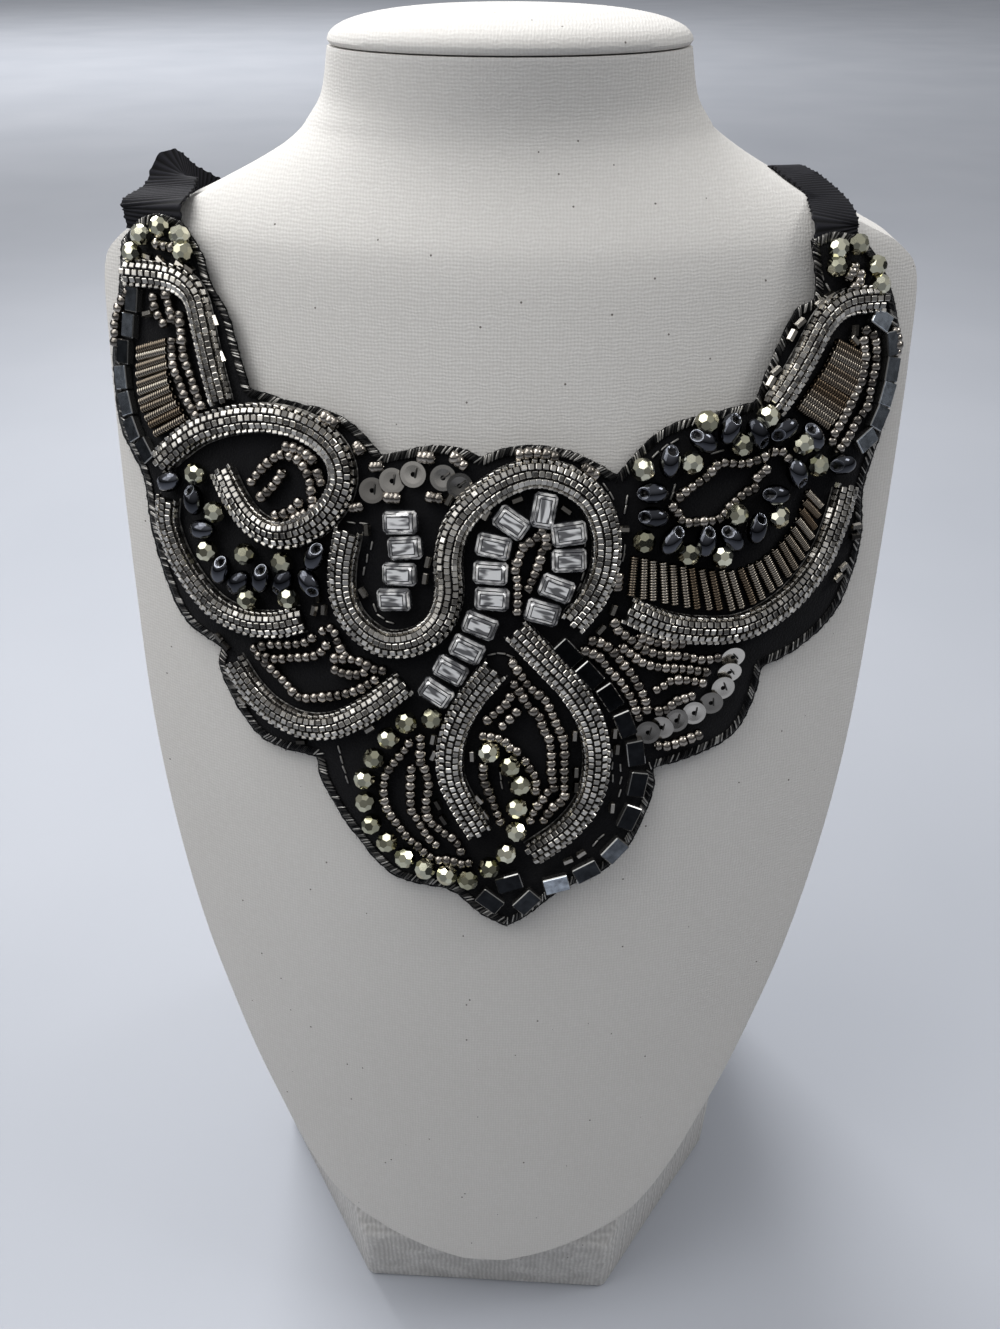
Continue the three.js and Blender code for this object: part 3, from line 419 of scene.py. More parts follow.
def outwardFaces(points, faces):
    volume = 0.0
    for face in faces:
        a = Vector(points[face[0]])
        for k in range(1, len(face) - 1):
            volume += a.dot(Vector(points[face[k]]).cross(Vector(points[face[k + 1]])))
    return [face[::-1] for face in faces] if volume < 0 else faces


def makeLoft(name, rings, keys, smooth=True, tints=None):
    points = [tuple(p) for ring in rings for p in ring]
    faces = outwardFaces(points, ringFaces(len(rings[0]), len(rings)))
    return makeMesh(name, points, faces, keys, smooth, None, tints)


def useTool(piece, work):
    # select one piece alone, run the work on it, and leave nothing selected
    bpy.ops.object.select_all(action="DESELECT")
    piece.select_set(True)
    bpy.context.view_layer.objects.active = piece
    work()
    bpy.ops.object.select_all(action="DESELECT")


def shadeSmooth(piece, angle):
    useTool(piece, lambda: bpy.ops.object.shade_smooth_by_angle(angle=math.radians(angle)))


def softenEdges(piece, width, segments=3, angle=35):
    bevel = piece.modifiers.new("soften", "BEVEL")
    bevel.width = width * millimetre
    bevel.segments = segments
    bevel.limit_method = "ANGLE"
    bevel.angle_limit = math.radians(angle)
    useTool(piece, lambda: bpy.ops.object.modifier_apply(modifier="soften"))


# Masters: each repeated shape is modelled once, in millimetres, about its own middle
masters = {}


def keepMaster(name, keys, smooth):
    piece = bpy.context.object
    mesh = piece.data
    masters[name] = {
        "points": [Vector(v.co) for v in mesh.vertices],
        "faces": [list(f.vertices) for f in mesh.polygons],
        "keys": [keys[min(f.material_index, len(keys) - 1)] for f in mesh.polygons],
        "smooth": smooth,
    }
    bpy.data.objects.remove(piece)


def ringMaster(name, rings, smooth):
    points = [Vector(p) for ring in rings for p in ring]
    faces = outwardFaces(points, ringFaces(len(rings[0]), len(rings)))
    masters[name] = {"points": points, "faces": faces, "keys": [name] * len(faces), "smooth": smooth}


def pickFaces(test):
    # picks faces of the mesh in edit mode by a test on centre and normal
    bpy.ops.object.mode_set(mode="OBJECT")
    mesh = bpy.context.object.data
    for face in mesh.polygons:
        face.select = bool(test(face.center, face.normal))
    for edge in mesh.edges:
        edge.select = False
    for vertex in mesh.vertices:
        vertex.select = False
    for face in mesh.polygons:
        if face.select:
            for index in face.vertices:
                mesh.vertices[index].select = True
    bpy.ops.object.mode_set(mode="EDIT")
    bpy.ops.mesh.select_mode(type="FACE")


# the swell makes up for what the cuts take off the ball
roundBead = {"size": 4.2, "swell": 1.27, "cut": 33, "topShare": 0.88}


def facetBead():
    bpy.ops.mesh.primitive_ico_sphere_add(subdivisions=1, radius=roundBead["size"] / 2 * roundBead["swell"])
    bpy.ops.object.mode_set(mode="EDIT")
    bpy.ops.mesh.select_all(action="SELECT")
    bpy.ops.mesh.bevel(offset_type="PERCENT", offset_pct=roundBead["cut"], affect="VERTICES")
    bpy.ops.object.mode_set(mode="OBJECT")
    keepMaster("facet", ["facet"], False)


hematiteOval = {
    "length": 6.3, "width": 4.2, "flatness": 0.96, "lift": 2.0, "rim": 0.09, "hole": 0.3, "depth": 0.2,
    "end": (0.62, 0, 0.78), "cut": 0.5,
}


def ovalBead():
    length, width = hematiteOval["length"], hematiteOval["width"]
    bpy.ops.mesh.primitive_uv_sphere_add(segments=20, ring_count=14, radius=0.5)
    bpy.ops.object.mode_set(mode="EDIT")
    bpy.ops.mesh.select_all(action="SELECT")
    bpy.ops.transform.rotate(value=math.pi / 2, orient_axis="Y", center_override=(0, 0, 0))
    thick = width * hematiteOval["flatness"]
    bpy.ops.transform.resize(value=(length, width, thick), center_override=(0, 0, 0))
    # the hole's end, cut slanting upwards
    slant = Vector(hematiteOval["end"]).normalized()
    cut = width * hematiteOval["cut"]
    bpy.ops.mesh.bisect(plane_co=slant * cut, plane_no=slant, use_fill=True, clear_outer=True)
    pickFaces(lambda centre, normal: normal.dot(slant) > 0.995 and centre.dot(slant) > 0.98 * cut)
    bpy.ops.mesh.inset(thickness=hematiteOval["rim"], depth=0.0)
    bpy.ops.mesh.inset(thickness=hematiteOval["hole"], depth=-hematiteOval["depth"])
    bpy.ops.object.mode_set(mode="OBJECT")
    mesh = bpy.context.object.data
    for name in ("a", "b", "c"):
        mesh.materials.append(bpy.data.materials.new(name))
    for face in mesh.polygons:
        # the sunk floor of the hole takes the painted shade, the flat rim round it the painted highlight
        high = face.center.dot(slant)
        if face.normal.dot(slant) > 0.99 and high < 0.98 * cut:
            face.material_index = 1
        elif face.normal.dot(slant) > 0.99:
            face.material_index = 2
    keepMaster("oval", ["oval", "window", "lip"], True)


def bevelledBlock(name, size, bevel):
    length, width, height = size
    bpy.ops.mesh.primitive_cube_add(size=1)
    bpy.ops.object.mode_set(mode="EDIT")
    bpy.ops.mesh.select_all(action="SELECT")
    bpy.ops.transform.resize(value=(length, width, height), center_override=(0, 0, 0))
    bpy.ops.mesh.bevel(offset=bevel, segments=1, affect="EDGES")
    bpy.ops.object.mode_set(mode="OBJECT")
    keepMaster(name, [name], False)


def latheMaster(name, profile, sides, key, smooth=True):
    # a closed profile of place along X and radius, spun about X
    bpy.ops.mesh.primitive_circle_add(vertices=len(profile), radius=1)
    piece = bpy.context.object
    for vertex, (along, radius) in zip(piece.data.vertices, profile):
        vertex.co = (along, radius, 0)
    bpy.ops.object.mode_set(mode="EDIT")
    bpy.ops.mesh.select_all(action="SELECT")
    bpy.ops.mesh.spin(steps=sides, angle=2 * math.pi, center=(0, 0, 0), axis=(1, 0, 0))
    bpy.ops.mesh.select_all(action="SELECT")
    bpy.ops.mesh.remove_doubles(threshold=0.001)
    bpy.ops.mesh.normals_make_consistent(inside=False)
    bpy.ops.object.mode_set(mode="OBJECT")
    keepMaster(name, [key], smooth)


def coilProfile():
    # up and down over each turn of the wire, and back through the bore
    length, radius, turns, wire = bugle["length"], bugle["radius"], bugle["turns"], bugle["wire"]
    bore = radius * bugle["bore"]
    outer = []
    for i in range(turns * 4 + 1):
        swing = math.cos((i - turns * 2) * math.pi / 2)
        outer.append((-length / 2 + length * i / (turns * 4), radius - wire / 2 + wire / 2 * swing))
    return outer + [(length / 2, bore), (-length / 2, bore)]


def cutStoneMaster():
    # octagon steps from the base up: share of the girdle, share of the height
    length, width, height = cutStone["length"], cutStone["width"], cutStone["height"]
    corner = 0.19 * width
    rings = []
    for share, rise in ((0.72, 0), (1, 0.4), (1, 0.5), (0.9, 0.68), (0.78, 0.84), (0.62, 1.0)):
        x, y, c = length / 2 - (1 - share) * width / 2, share * width / 2, corner * share
        z = (rise - 0.5) * height
        rings.append([
            (x, y - c, z), (x - c, y, z), (c - x, y, z), (-x, y - c, z),
            (-x, c - y, z), (c - x, -y, z), (x - c, -y, z), (x, c - y, z),
        ])
    ringMaster("stone", rings, False)


weave = {"cell": (1.13, 1.08, 0.8), "bevel": 0.13, "pitch": 1.3, "row": 1.34, "rows": 5}
# profiles of place along the bead and radius: seed beads with rounded ends, and thin tubes
seedProfile = [(-0.84, 0.66), (-0.68, 1.02), (0, 1.2), (0.68, 1.02), (0.84, 0.66), (0.5, 0.36), (-0.5, 0.36)]
tubeProfile = [(-1.1, 0.62), (-1.0, 0.76), (1.0, 0.76), (1.1, 0.62), (1.0, 0.35), (-1.0, 0.35)]
# threads, pointed at their ends: in running stitches, over the felt's edge, and torn
stitchProfile = [(-0.95, 0.05), (-0.75, 0.2), (0.75, 0.2), (0.95, 0.05)]
overcastProfile = [(-1.0, 0.05), (-0.7, 0.17), (0.7, 0.17), (1.0, 0.05)]
fibreProfile = [(-0.7, 0.04), (0.7, 0.03), (0.7, 0.005), (-0.7, 0.005)]

facetBead()
ovalBead()
bevelledBlock("tile", glassTile["size"], glassTile["bevel"])
bevelledBlock("mesh", weave["cell"], weave["bevel"])
latheMaster("seed", seedProfile, 10, "seed")
latheMaster("bit", tubeProfile, 6, "bit", False)
latheMaster("stitch", stitchProfile, 5, "thread")
latheMaster("overcast", overcastProfile, 5, "thread")
latheMaster("fibre", fibreProfile, 3, "fibre", False)
latheMaster("coil", coilProfile(), bugle["sides"], "coil")
cutStoneMaster()

sequin = {"radius": 2.5, "hole": 0.5, "rim": 0.7, "dish": 0.1, "thickness": 0.16, "sides": 28, "lift": 0.85}


def sequinMaster():
    bpy.ops.mesh.primitive_circle_add(vertices=sequin["sides"], radius=sequin["radius"], fill_type="NGON")
    bpy.ops.object.mode_set(mode="EDIT")
    bpy.ops.mesh.select_all(action="SELECT")
    bpy.ops.mesh.inset(thickness=sequin["rim"], depth=0.0)
    bpy.ops.mesh.inset(thickness=sequin["radius"] - sequin["hole"] - sequin["rim"], depth=-sequin["dish"])
    bpy.ops.mesh.delete(type="FACE")
    bpy.ops.object.mode_set(mode="OBJECT")
    piece = bpy.context.object
    wall = piece.modifiers.new("wall", "SOLIDIFY")
    wall.thickness = sequin["thickness"]
    wall.offset = 0
    bpy.ops.object.modifier_apply(modifier="wall")
    keepMaster("sequin", ["sequin"], False)


sequinMaster()
print("masters made:", {k: len(m["faces"]) for k, m in masters.items()})


def scatter(name, items, replaced):
    # copies of masters in one piece: master's name, its place and its tint
    points, faces, keys, smooth, tints, local = [], [], [], [], [], []
    used = []
    for masterName, place, tint in items:
        master = masters[masterName]
        base = len(points)
        for p in master["points"]:
            points.append(tuple(place @ p))
            local.append(tuple(p))
            tints.append(tint)
        for face, key in zip(master["faces"], master["keys"]):
            faces.append([base + i for i in face])
            if key not in used:
                used.append(key)
            keys.append(used.index(key))
            smooth.append(master["smooth"])
    piece = makeMesh(name, points, faces, used, smooth, keys, tints, local)
    return finishPiece(piece, replaced)


def anyTurn():
    angle = random.uniform(0, 6.28)
    axis = Vector((random.uniform(-1, 1), random.uniform(-1, 1), 1)).normalized()
    return Matrix.Rotation(angle, 4, axis)


# The bust
bust = {"frontSteps": 48, "backSteps": 24, "between": 5, "sweep": 80, "edge": 1.1}
cap = {"height": 6.5, "sides": 64, "rows": 14, "power": 2.5, "gap": 0.3, "turnIn": 0.985}
foot = {"weld": 0.00001, "flat": 2, "edge": 1.4, "edgeAngle": 12}


def makeBust():
    # up the chest; half-width as a share of half the bust's; how far it has become the neck
    sections = [
        [0, 0.06, 0], [0.011, 0.187, 0], [0.027, 0.31, 0], [0.052, 0.438, 0], [0.096, 0.54, 0],
        [0.149, 0.623, 0], [0.193, 0.689, 0], [0.246, 0.756, 0], [0.306, 0.825, 0], [0.371, 0.881, 0],
        [0.443, 0.927, 0], [0.516, 0.957, 0], [0.609, 0.976, 0], [0.721, 0.993, 0], [0.795, 1, 0],
        [0.852, 0.996, 0],
        [0.874, 0.946, 0.02], [0.888, 0.865, 0.08], [0.905, 0.735, 0.25], [0.924, 0.608, 0.5],
        [0.942, 0.517, 0.75], [0.954, 0.485, 0.88], [0.97, 0.455, 0.97],
        [1, chest["neckWidth"] / chest["width"], 1],
    ]
    sweep = math.radians(bust["sweep"])
    rings = []
    last = len(sections) - 1
    for i in range(last * bust["between"] + 1):
        k = min(i // bust["between"], last - 1)
        a, b, c, d = (sections[max(0, min(last, k + n))] for n in (-1, 0, 1, 2))
        climb, half, neck = smoothBetween(a, b, c, d, i / bust["between"] - k)
        neck = min(1, max(0, neck))
        z = chest["tipHeight"] + climb * tall
        reach = half * chest["width"] / 2
        ring = []
        for steps, sign in ((bust["frontSteps"], -1), (bust["backSteps"], 1)):
            for step in range(steps + 1):
                f = sign * (1 - 2 * step / steps)
                x = reach * ((1 - neck) * f + neck * math.sin(sweep * f))
                board = chestFront(x, z) if sign < 0 else bustBack(z)
                tube = neckY + sign * chest["neckDepth"] / 2 * math.cos(sweep * f)
                ring.append(Vector((x, (1 - neck) * board + neck * tube, z)))
        rings.append(ring)
    piece = makeLoft("bust_form_cover", rings, ["cover"])
    softenEdges(piece, bust["edge"], 3, 40)
    shadeSmooth(piece, 50)
    return finishPiece(piece, ["bust_form"])


def makeCap():
    rings = []
    for i in range(cap["rows"] + 1):
        t = math.sin(i / cap["rows"] * math.pi / 2)
        share = max(0.02, (1 - t ** cap["power"]) ** (1 / cap["power"])) if i else cap["turnIn"]
        z = chest["seamHeight"] + cap["gap"] + cap["height"] * (0 if i == 0 else max(0.03, t))
        rings.append([
            Vector((
                share * chest["neckWidth"] / 2 * math.cos(a),
                neckY + share * chest["neckDepth"] / 2 * math.sin(a),
                z,
            ))
            for a in (2 * math.pi * k / cap["sides"] for k in range(cap["sides"]))
        ])
    piece = makeLoft("neck_cap_cover", rings, ["cover"])
    shadeSmooth(piece, 50)
    return finishPiece(piece, ["neck_cap"])


def makeFoot():
    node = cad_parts["bust_foot"]
    piece = node.copy()
    piece.data = node.data.copy()
    piece.name = "bust_foot_cover"
    piece.parent = None
    for key in list(piece.keys()):
        del piece[key]
    bpy.context.scene.collection.objects.link(piece)
    piece.data.materials.clear()
    piece.data.materials.append(materials["ribbed"])

    def clean():
        bpy.ops.object.mode_set(mode="EDIT")
        bpy.ops.mesh.select_all(action="SELECT")
        bpy.ops.mesh.remove_doubles(threshold=foot["weld"])
        bpy.ops.mesh.dissolve_limited(angle_limit=math.radians(foot["flat"]))
        bpy.ops.object.mode_set(mode="OBJECT")

    useTool(piece, clean)
    softenEdges(piece, foot["edge"], 3, foot["edgeAngle"])
    shadeSmooth(piece, 35)
    return finishPiece(piece, ["bust_foot"])


makeBust()
neckCap = makeCap()
makeFoot()
print("bust made")


# The felt
feltStretches = [
    [[-63.4, 88.6], [-59.4, 82.2], [-57.8, 76.6], [-54.3, 70.4], [-52.4, 63.7], [-50, 55.4]],
    [[-50, 55.4], [-41.7, 52.7], [-34.1, 50.8], [-28.3, 47.3], [-23.7, 42]],
    [[-23.7, 42], [-18.7, 43], [-13, 43.9], [-8, 43.4], [-3.8, 41.6]],
    [[-3.8, 41.6], [0.4, 43.2], [6.2, 43.9], [13, 43.1], [18.6, 40.8], [23.4, 38]],
    [[23.4, 38], [29.6, 45], [35.3, 48.5], [41.3, 50.1], [50.9, 52.6]],
    [[50.9, 52.6], [54.3, 61.4], [58.9, 70.7], [62.9, 74.1], [62.1, 84.8]],
    [[62.1, 84.8], [66.8, 86.6], [72.6, 85.6]],
    [
        [72.6, 85.6], [77.4, 77.6], [80, 64.8], [76.8, 48], [72.8, 35.5], [72.2, 24.4], [67.8, 11.7],
        [60.4, 3.8], [52.5, -0.5],
    ],
    [[52.5, -0.5], [50.3, -8.1], [46.4, -14.2], [38.9, -18.2], [30.8, -20.8]],
    [[30.8, -20.8], [30.6, -25.6], [26.4, -35.3], [20.4, -41.4], [12, -45.3], [5.4, -50.3], [1.3, -52.4]],
    [
        [1.3, -52.4], [-4.4, -49.6], [-9.8, -45.3], [-21.5, -42], [-30.4, -32.1], [-35.5, -23.5],
        [-36.7, -18.5],
    ],
    [[-36.7, -18.5], [-46.6, -15.4], [-52.2, -9], [-56.2, -0.5], [-55.8, 3.3]],
    [
        [-55.8, 3.3], [-62.8, 8.8], [-67, 17.4], [-69.9, 28], [-71.6, 38], [-76, 48], [-77.5, 62],
        [-76.4, 74], [-75.8, 84.6],
    ],
    [[-75.8, 84.6], [-72.4, 88.9], [-68, 90.2], [-63.4, 88.6]],
]


def feltOutline(spacing):
    return [p for stretch in feltStretches for p in curvePoints(stretch, spacing)[:-1]][::-1]


def edgeDirection(outline, i):
    a, b = outline[i - 1], outline[(i + 1) % len(outline)]
    size = math.dist(a, b)
    return (b[0] - a[0]) / size, (b[1] - a[1]) / size


feltCut = {"spacing": 0.8, "wander": (-0.16, 0.1), "grid": 6.5, "edge": 0.45}


def makeFelt():
    outline = feltOutline(feltCut["spacing"])
    ragged = []
    for i, (u, v) in enumerate(outline):
        du, dv = edgeDirection(outline, i)
        wander = random.uniform(*feltCut["wander"])
        ragged.append((u + wander * dv, v - wander * du, 0.0))
    mesh = bpy.data.meshes.new("bib_felt_cloth")
    mesh.from_pydata(ragged, [], [list(range(len(outline)))])
    piece = bpy.data.objects.new("bib_felt_cloth", mesh)
    bpy.context.scene.collection.objects.link(piece)
    bpy.context.view_layer.update()

    def cut():
        bpy.ops.object.mode_set(mode="EDIT")
        bpy.ops.mesh.select_all(action="SELECT")
        bpy.ops.mesh.quads_convert_to_tris()
        # a grid of cuts, so that the sheet can bend
        for normal, lowest in ((Vector((1, 0, 0)), -12), (Vector((0, 1, 0)), -8)):
            for k in range(lowest, 14):
                bpy.ops.mesh.select_all(action="SELECT")
                bpy.ops.mesh.bisect(plane_co=normal * k * feltCut["grid"], plane_no=normal)
        bpy.ops.mesh.select_all(action="SELECT")
        bpy.ops.mesh.extrude_region_move(TRANSFORM_OT_translate={"value": (0, 0, 1)})
        bpy.ops.mesh.select_all(action="SELECT")
        bpy.ops.mesh.normals_make_consistent(inside=False)
        bpy.ops.object.mode_set(mode="OBJECT")

    useTool(piece, cut)
    for vertex in mesh.vertices:
        u, v, high = vertex.co
        vertex.co = sight(u, v, bib["gap"] + high * bib["felt"]) * millimetre
    mesh.materials.append(materials["felt"])
    softenEdges(piece, feltCut["edge"], 2, 60)
    shadeSmooth(piece, 40)
    return finishPiece(piece, ["bib_felt"])


edging = {"spacing": 0.31, "inside": 0.95, "slant": 58, "sway": 7, "tints": [0.0, 0.0, 0.02, 0.06, 0.2, 0.8]}


def makeEdgeCord():
    outline = feltOutline(edging["spacing"])
    items = []
    for i, (u, v) in enumerate(outline):
        du, dv = edgeDirection(outline, i)
        u, v = u - edging["inside"] * dv, v + edging["inside"] * du
        turn = math.degrees(math.atan2(dv, du)) + edging["slant"]
        turn += random.uniform(-edging["sway"], edging["sway"])
        shade = random.choice(edging["tints"])
        items.append(("overcast", seat(u, v, turn, laid + 0.1 + random.uniform(-0.1, 0.1)), shade))
    return scatter("felt_edge_cord", items, [])


fuzzEnds = {"spacing": 1.5, "length": (0.35, 0.85), "sway": 70, "rise": 25, "lift": (0.4, 1.9)}


def makeFuzz():
    outline = feltOutline(fuzzEnds["spacing"])
    items = []
    for i, (u, v) in enumerate(outline):
        a = outline[i - 1]
        outwards = math.degrees(math.atan2(v - a[1], u - a[0])) - 90
        turn = outwards + random.uniform(-fuzzEnds["sway"], fuzzEnds["sway"])
        lift = bib["gap"] + random.uniform(*fuzzEnds["lift"])
        place = seat(u, v, turn, lift, random.uniform(-fuzzEnds["rise"], fuzzEnds["rise"]))
        size = random.uniform(*fuzzEnds["length"])
        items.append(("fibre", place @ Matrix.Diagonal((size, 1, 1, 1)), random.uniform(0, 1)))
    return scatter("felt_fuzz", items, [])


felt = makeFelt()
edgeCord = makeEdgeCord()
fuzz = makeFuzz()
print("felt made")


# The woven cables
cable = {
    "width": 5.5, "strapWidth": 5.0, "height": 3, "coreShare": 0.8, "coreSides": 12, "low": -20, "span": 220,
    "inset": (0.25, 0.2), "rise": (0.1, 0.26), "roll": 0.14, "hem": (0.02, 0.75),
}
cableRoutes = {
    "left_strap": [
        [-74.6, 78.4], [-68, 77.8], [-64, 76.6], [-61, 73.4], [-59.4, 67.2], [-57.8, 60], [-55.9, 52.5],
    ],
    "left_loop": [
        [-67.8, 40.4], [-64.3, 43.8], [-59, 47.3], [-51.3, 49.2], [-43.6, 48.9], [-37.1, 46.4], [-32.7, 42],
        [-31.5, 36.6], [-34, 31], [-39, 27], [-44.6, 25.9], [-49.4, 28.4], [-52.9, 33], [-55.6, 38.6],
    ],
    "left_side": [
        [-66.4, 33], [-66.4, 28], [-63.4, 20.2], [-57.6, 12.4], [-51.3, 8.8], [-45.2, 8], [-39.6, 9.1],
    ],
    "lower_left": [
        [-53.1, 0.3], [-49.7, -4.9], [-45.2, -9.3], [-39.4, -12.1], [-32.9, -12.1], [-26, -8.8],
        [-19.2, -3.8],
    ],
    "centre": [
        [-30.4, 26.4], [-31.6, 20], [-31.4, 13.6], [-28.6, 8], [-23, 4.2], [-16.8, 4.7], [-12.2, 8.2],
        [-10.2, 14], [-10.4, 21], [-8.7, 27.6], [-4.3, 32.8], [1.4, 36.6], [7.4, 38.2], [13.6, 36.7],
        [18.8, 32.6], [21.3, 26], [20.9, 19], [18.4, 13.1], [14.6, 8.3],
    ],
    "tip_left": [
        [-1.2, -1.3], [-5, -5.8], [-8.2, -11], [-10, -17], [-9.7, -23], [-7.2, -28.4], [-4.2, -33.4],
    ],
    "tip_right": [
        [3.4, 6.6], [9.4, 0.4], [14.8, -5.6], [18.4, -12.2], [19.4, -19.4], [17.9, -26.8], [13.2, -33],
        [6.4, -37.8],
    ],
    "right_side": [
        [25.8, 10.8], [33, 7.8], [41, 6.8], [49, 7.7], [57, 12.4], [63.2, 19.6], [67, 28], [69.2, 35.4],
    ],
    "right_strap": [[76.4, 73.2], [69.6, 72.4], [65.2, 69], [61.4, 62], [57.7, 55.6], [55, 51.6]],
}


def laidFrames(route, spacing, lift):
    centres = [sight(u, v, lift) for u, v in curvePoints(route, spacing)]
    frames = []
    for i, centre in enumerate(centres):
        tangent = (centres[min(len(centres) - 1, i + 1)] - centres[max(0, i - 1)]).normalized()
        normal = chestNormal(centre.x, centre.z)
        side = normal.cross(tangent).normalized()
        frames.append((centre, tangent, side, side.cross(tangent) * -1))
    return frames


def makeCable(name, route):
    width = cable["strapWidth"] if name.endswith("strap") else cable["width"]
    high = cable["height"]
    frames = laidFrames(route, weave["pitch"] / 2, laid + high / 2)
    rings = []
    for i, (centre, _, side, normal) in enumerate(frames):
        if i % 3 == 0 or i == len(frames) - 1:
            wide, thick = (way * cable["coreShare"] / 2 for way in (side * width, normal * high))
            angles = [2 * math.pi * k / cable["coreSides"] for k in range(cable["coreSides"])]
            rings.append([centre + wide * math.cos(a) + thick * math.sin(a) for a in angles])
    # the core, near-black in its finish as painted shade between the cells
    ringMaster("core", rings, True)
    items = [("core", Matrix.Identity(4), 0.0)]
    # the rows of cells round the top of the cable, evenly along its outline
    a, b = width / 2 - cable["inset"][0], high / 2 - cable["inset"][1]
    dense = [math.radians(cable["low"] + cable["span"] * k / 200) for k in range(201)]
    lengths = [0.0]
    for p, q in zip(dense, dense[1:]):
        step = math.hypot(a * (math.cos(q) - math.cos(p)), b * (math.sin(q) - math.sin(p)))
        lengths.append(lengths[-1] + step)
    size = lengths[-1] / weave["rows"] / weave["row"]
    for row in range(weave["rows"]):
        want = lengths[-1] * (row + 0.5) / weave["rows"]
        angle = next(dense[k] for k in range(201) if lengths[k] >= want)
        # every other row is shifted by half a cell, as in brickwork
        for i in range(row % 2, len(frames), 2):
            centre, tangent, side, normal = frames[i]
            out = (side * math.cos(angle) / a + normal * math.sin(angle) / b).normalized()
            place = centre + side * a * math.cos(angle) + normal * b * math.sin(angle)
            across = out.cross(tangent)
            lean = Matrix.Rotation(random.uniform(*cable["rise"]), 3, across)
            lean = lean @ Matrix.Rotation(random.uniform(-cable["roll"], cable["roll"]), 3, tangent)
            basis = lean @ Matrix((tangent, across, out)).transposed()
            matrix = Matrix.Translation(place) @ basis.to_4x4() @ Matrix.Diagonal((1, size, 1, 1))
            items.append(("mesh", matrix, random.uniform(0.2, 1.0)))
    # two fine wires that hem the cable's edges
    for sign in (-1, 1):
        for i in range(0, len(frames) - 1, 2):
            centre, tangent, side, normal = frames[i]
            place = centre + side * sign * (width / 2 + cable["hem"][0]) - normal * cable["hem"][1]
            basis = Matrix((tangent, side, normal)).transposed().to_4x4()
            items.append(("stitch", Matrix.Translation(place) @ basis, random.uniform(0.05, 0.4)))
    return scatter(f"mesh_cable_{name}_weave", items, [f"mesh_cable_{name}"])


for cableName, cableRoute in cableRoutes.items():
    makeCable(cableName, cableRoute)
print("cables made")


# The stones
stonePlaces = [
    [-20, 28.4, 0], [-19, 23.3, 3], [-20.1, 18.1, -2], [-21.2, 13, 0],
    [8.8, 30.8, 80], [2.3, 28.3, -35], [-1.3, 23.6, -12], [-1.9, 18.3, -4], [-1.6, 13.1, -4],
    [-4, 7.8, -22], [-6.6, 3, -27], [-9.9, -1.2, -30], [-12.8, -5.7, -35],
    [13.8, 26.1, 8], [13.8, 20.8, 2], [11.3, 15.2, -20], [8.5, 10.4, -15],
]
for i, (u, v, turn) in enumerate(stonePlaces):
    stonePlace = seat(u, v, turn, laid + cutStone["height"] / 2)
    scatter(f"stone_{i + 1}_cut", [("stone", stonePlace, 0.5)], [f"stone_{i + 1}"])
print("stones made")


# Strings and fields of beads
def headingAt(line, i):
    # the line's direction at one of its points, in degrees
    a, b = line[max(0, i - 1)], line[min(len(line) - 1, i + 1)]
    return math.degrees(math.atan2(b[1] - a[1], b[0] - a[0]))


strings = {
    "beads_left_top": [
        "facet", [[-73.6, 82.3], [-71.9, 85.9], [-68.1, 87.5], [-64.1, 85.8], [-63.5, 82.6]],
    ],
    "beads_right_top": ["facet", [[67.4, 79.6], [67.8, 83.1], [71.7, 84], [75.3, 79.8], [76, 75.9]]],
    "beads_bottom": [
        "facet",
        [
            [-13.7, -10.8], [-18.7, -11.6], [-22.3, -14.7], [-25.2, -18.7], [-27.1, -22.8], [-27, -27.4],
            [-25.7, -31.9], [-22.6, -35.5], [-19.1, -38.6], [-15, -40.8], [-10.6, -42], [-6.4, -43],
            [-2.2, -40.6], [1.2, -37.7], [3.2, -33.3], [3.4, -28.6], [3.9, -24.1], [1.9, -20.3],
            [-2.2, -17.5],
        ],
    ],
    "tiles_left_strap": [
        "tile",
        [
            [-73.2, 73], [-73.9, 67.8], [-74.9, 62.6], [-75.3, 57.4], [-74.4, 52.2], [-73.2, 47.1],
            [-70.7, 42.9],
        ],
    ],
    "tiles_right_strap": ["tile", [[76, 69], [78.2, 64.2], [78, 59], [77, 54.1], [75.5, 49.4], [73, 44.9]]],
    "tiles_bottom": [
        "tile",
        [
            [13.6, 2.4], [17.9, -2], [21.9, -6.4], [24.9, -11.8], [27, -17.6], [27.4, -23.8], [25.7, -30.4],
            [22.8, -37], [17.2, -41.2], [11.2, -43.8], [5.3, -47.3], [-2, -47.1],
        ],
    ],
}
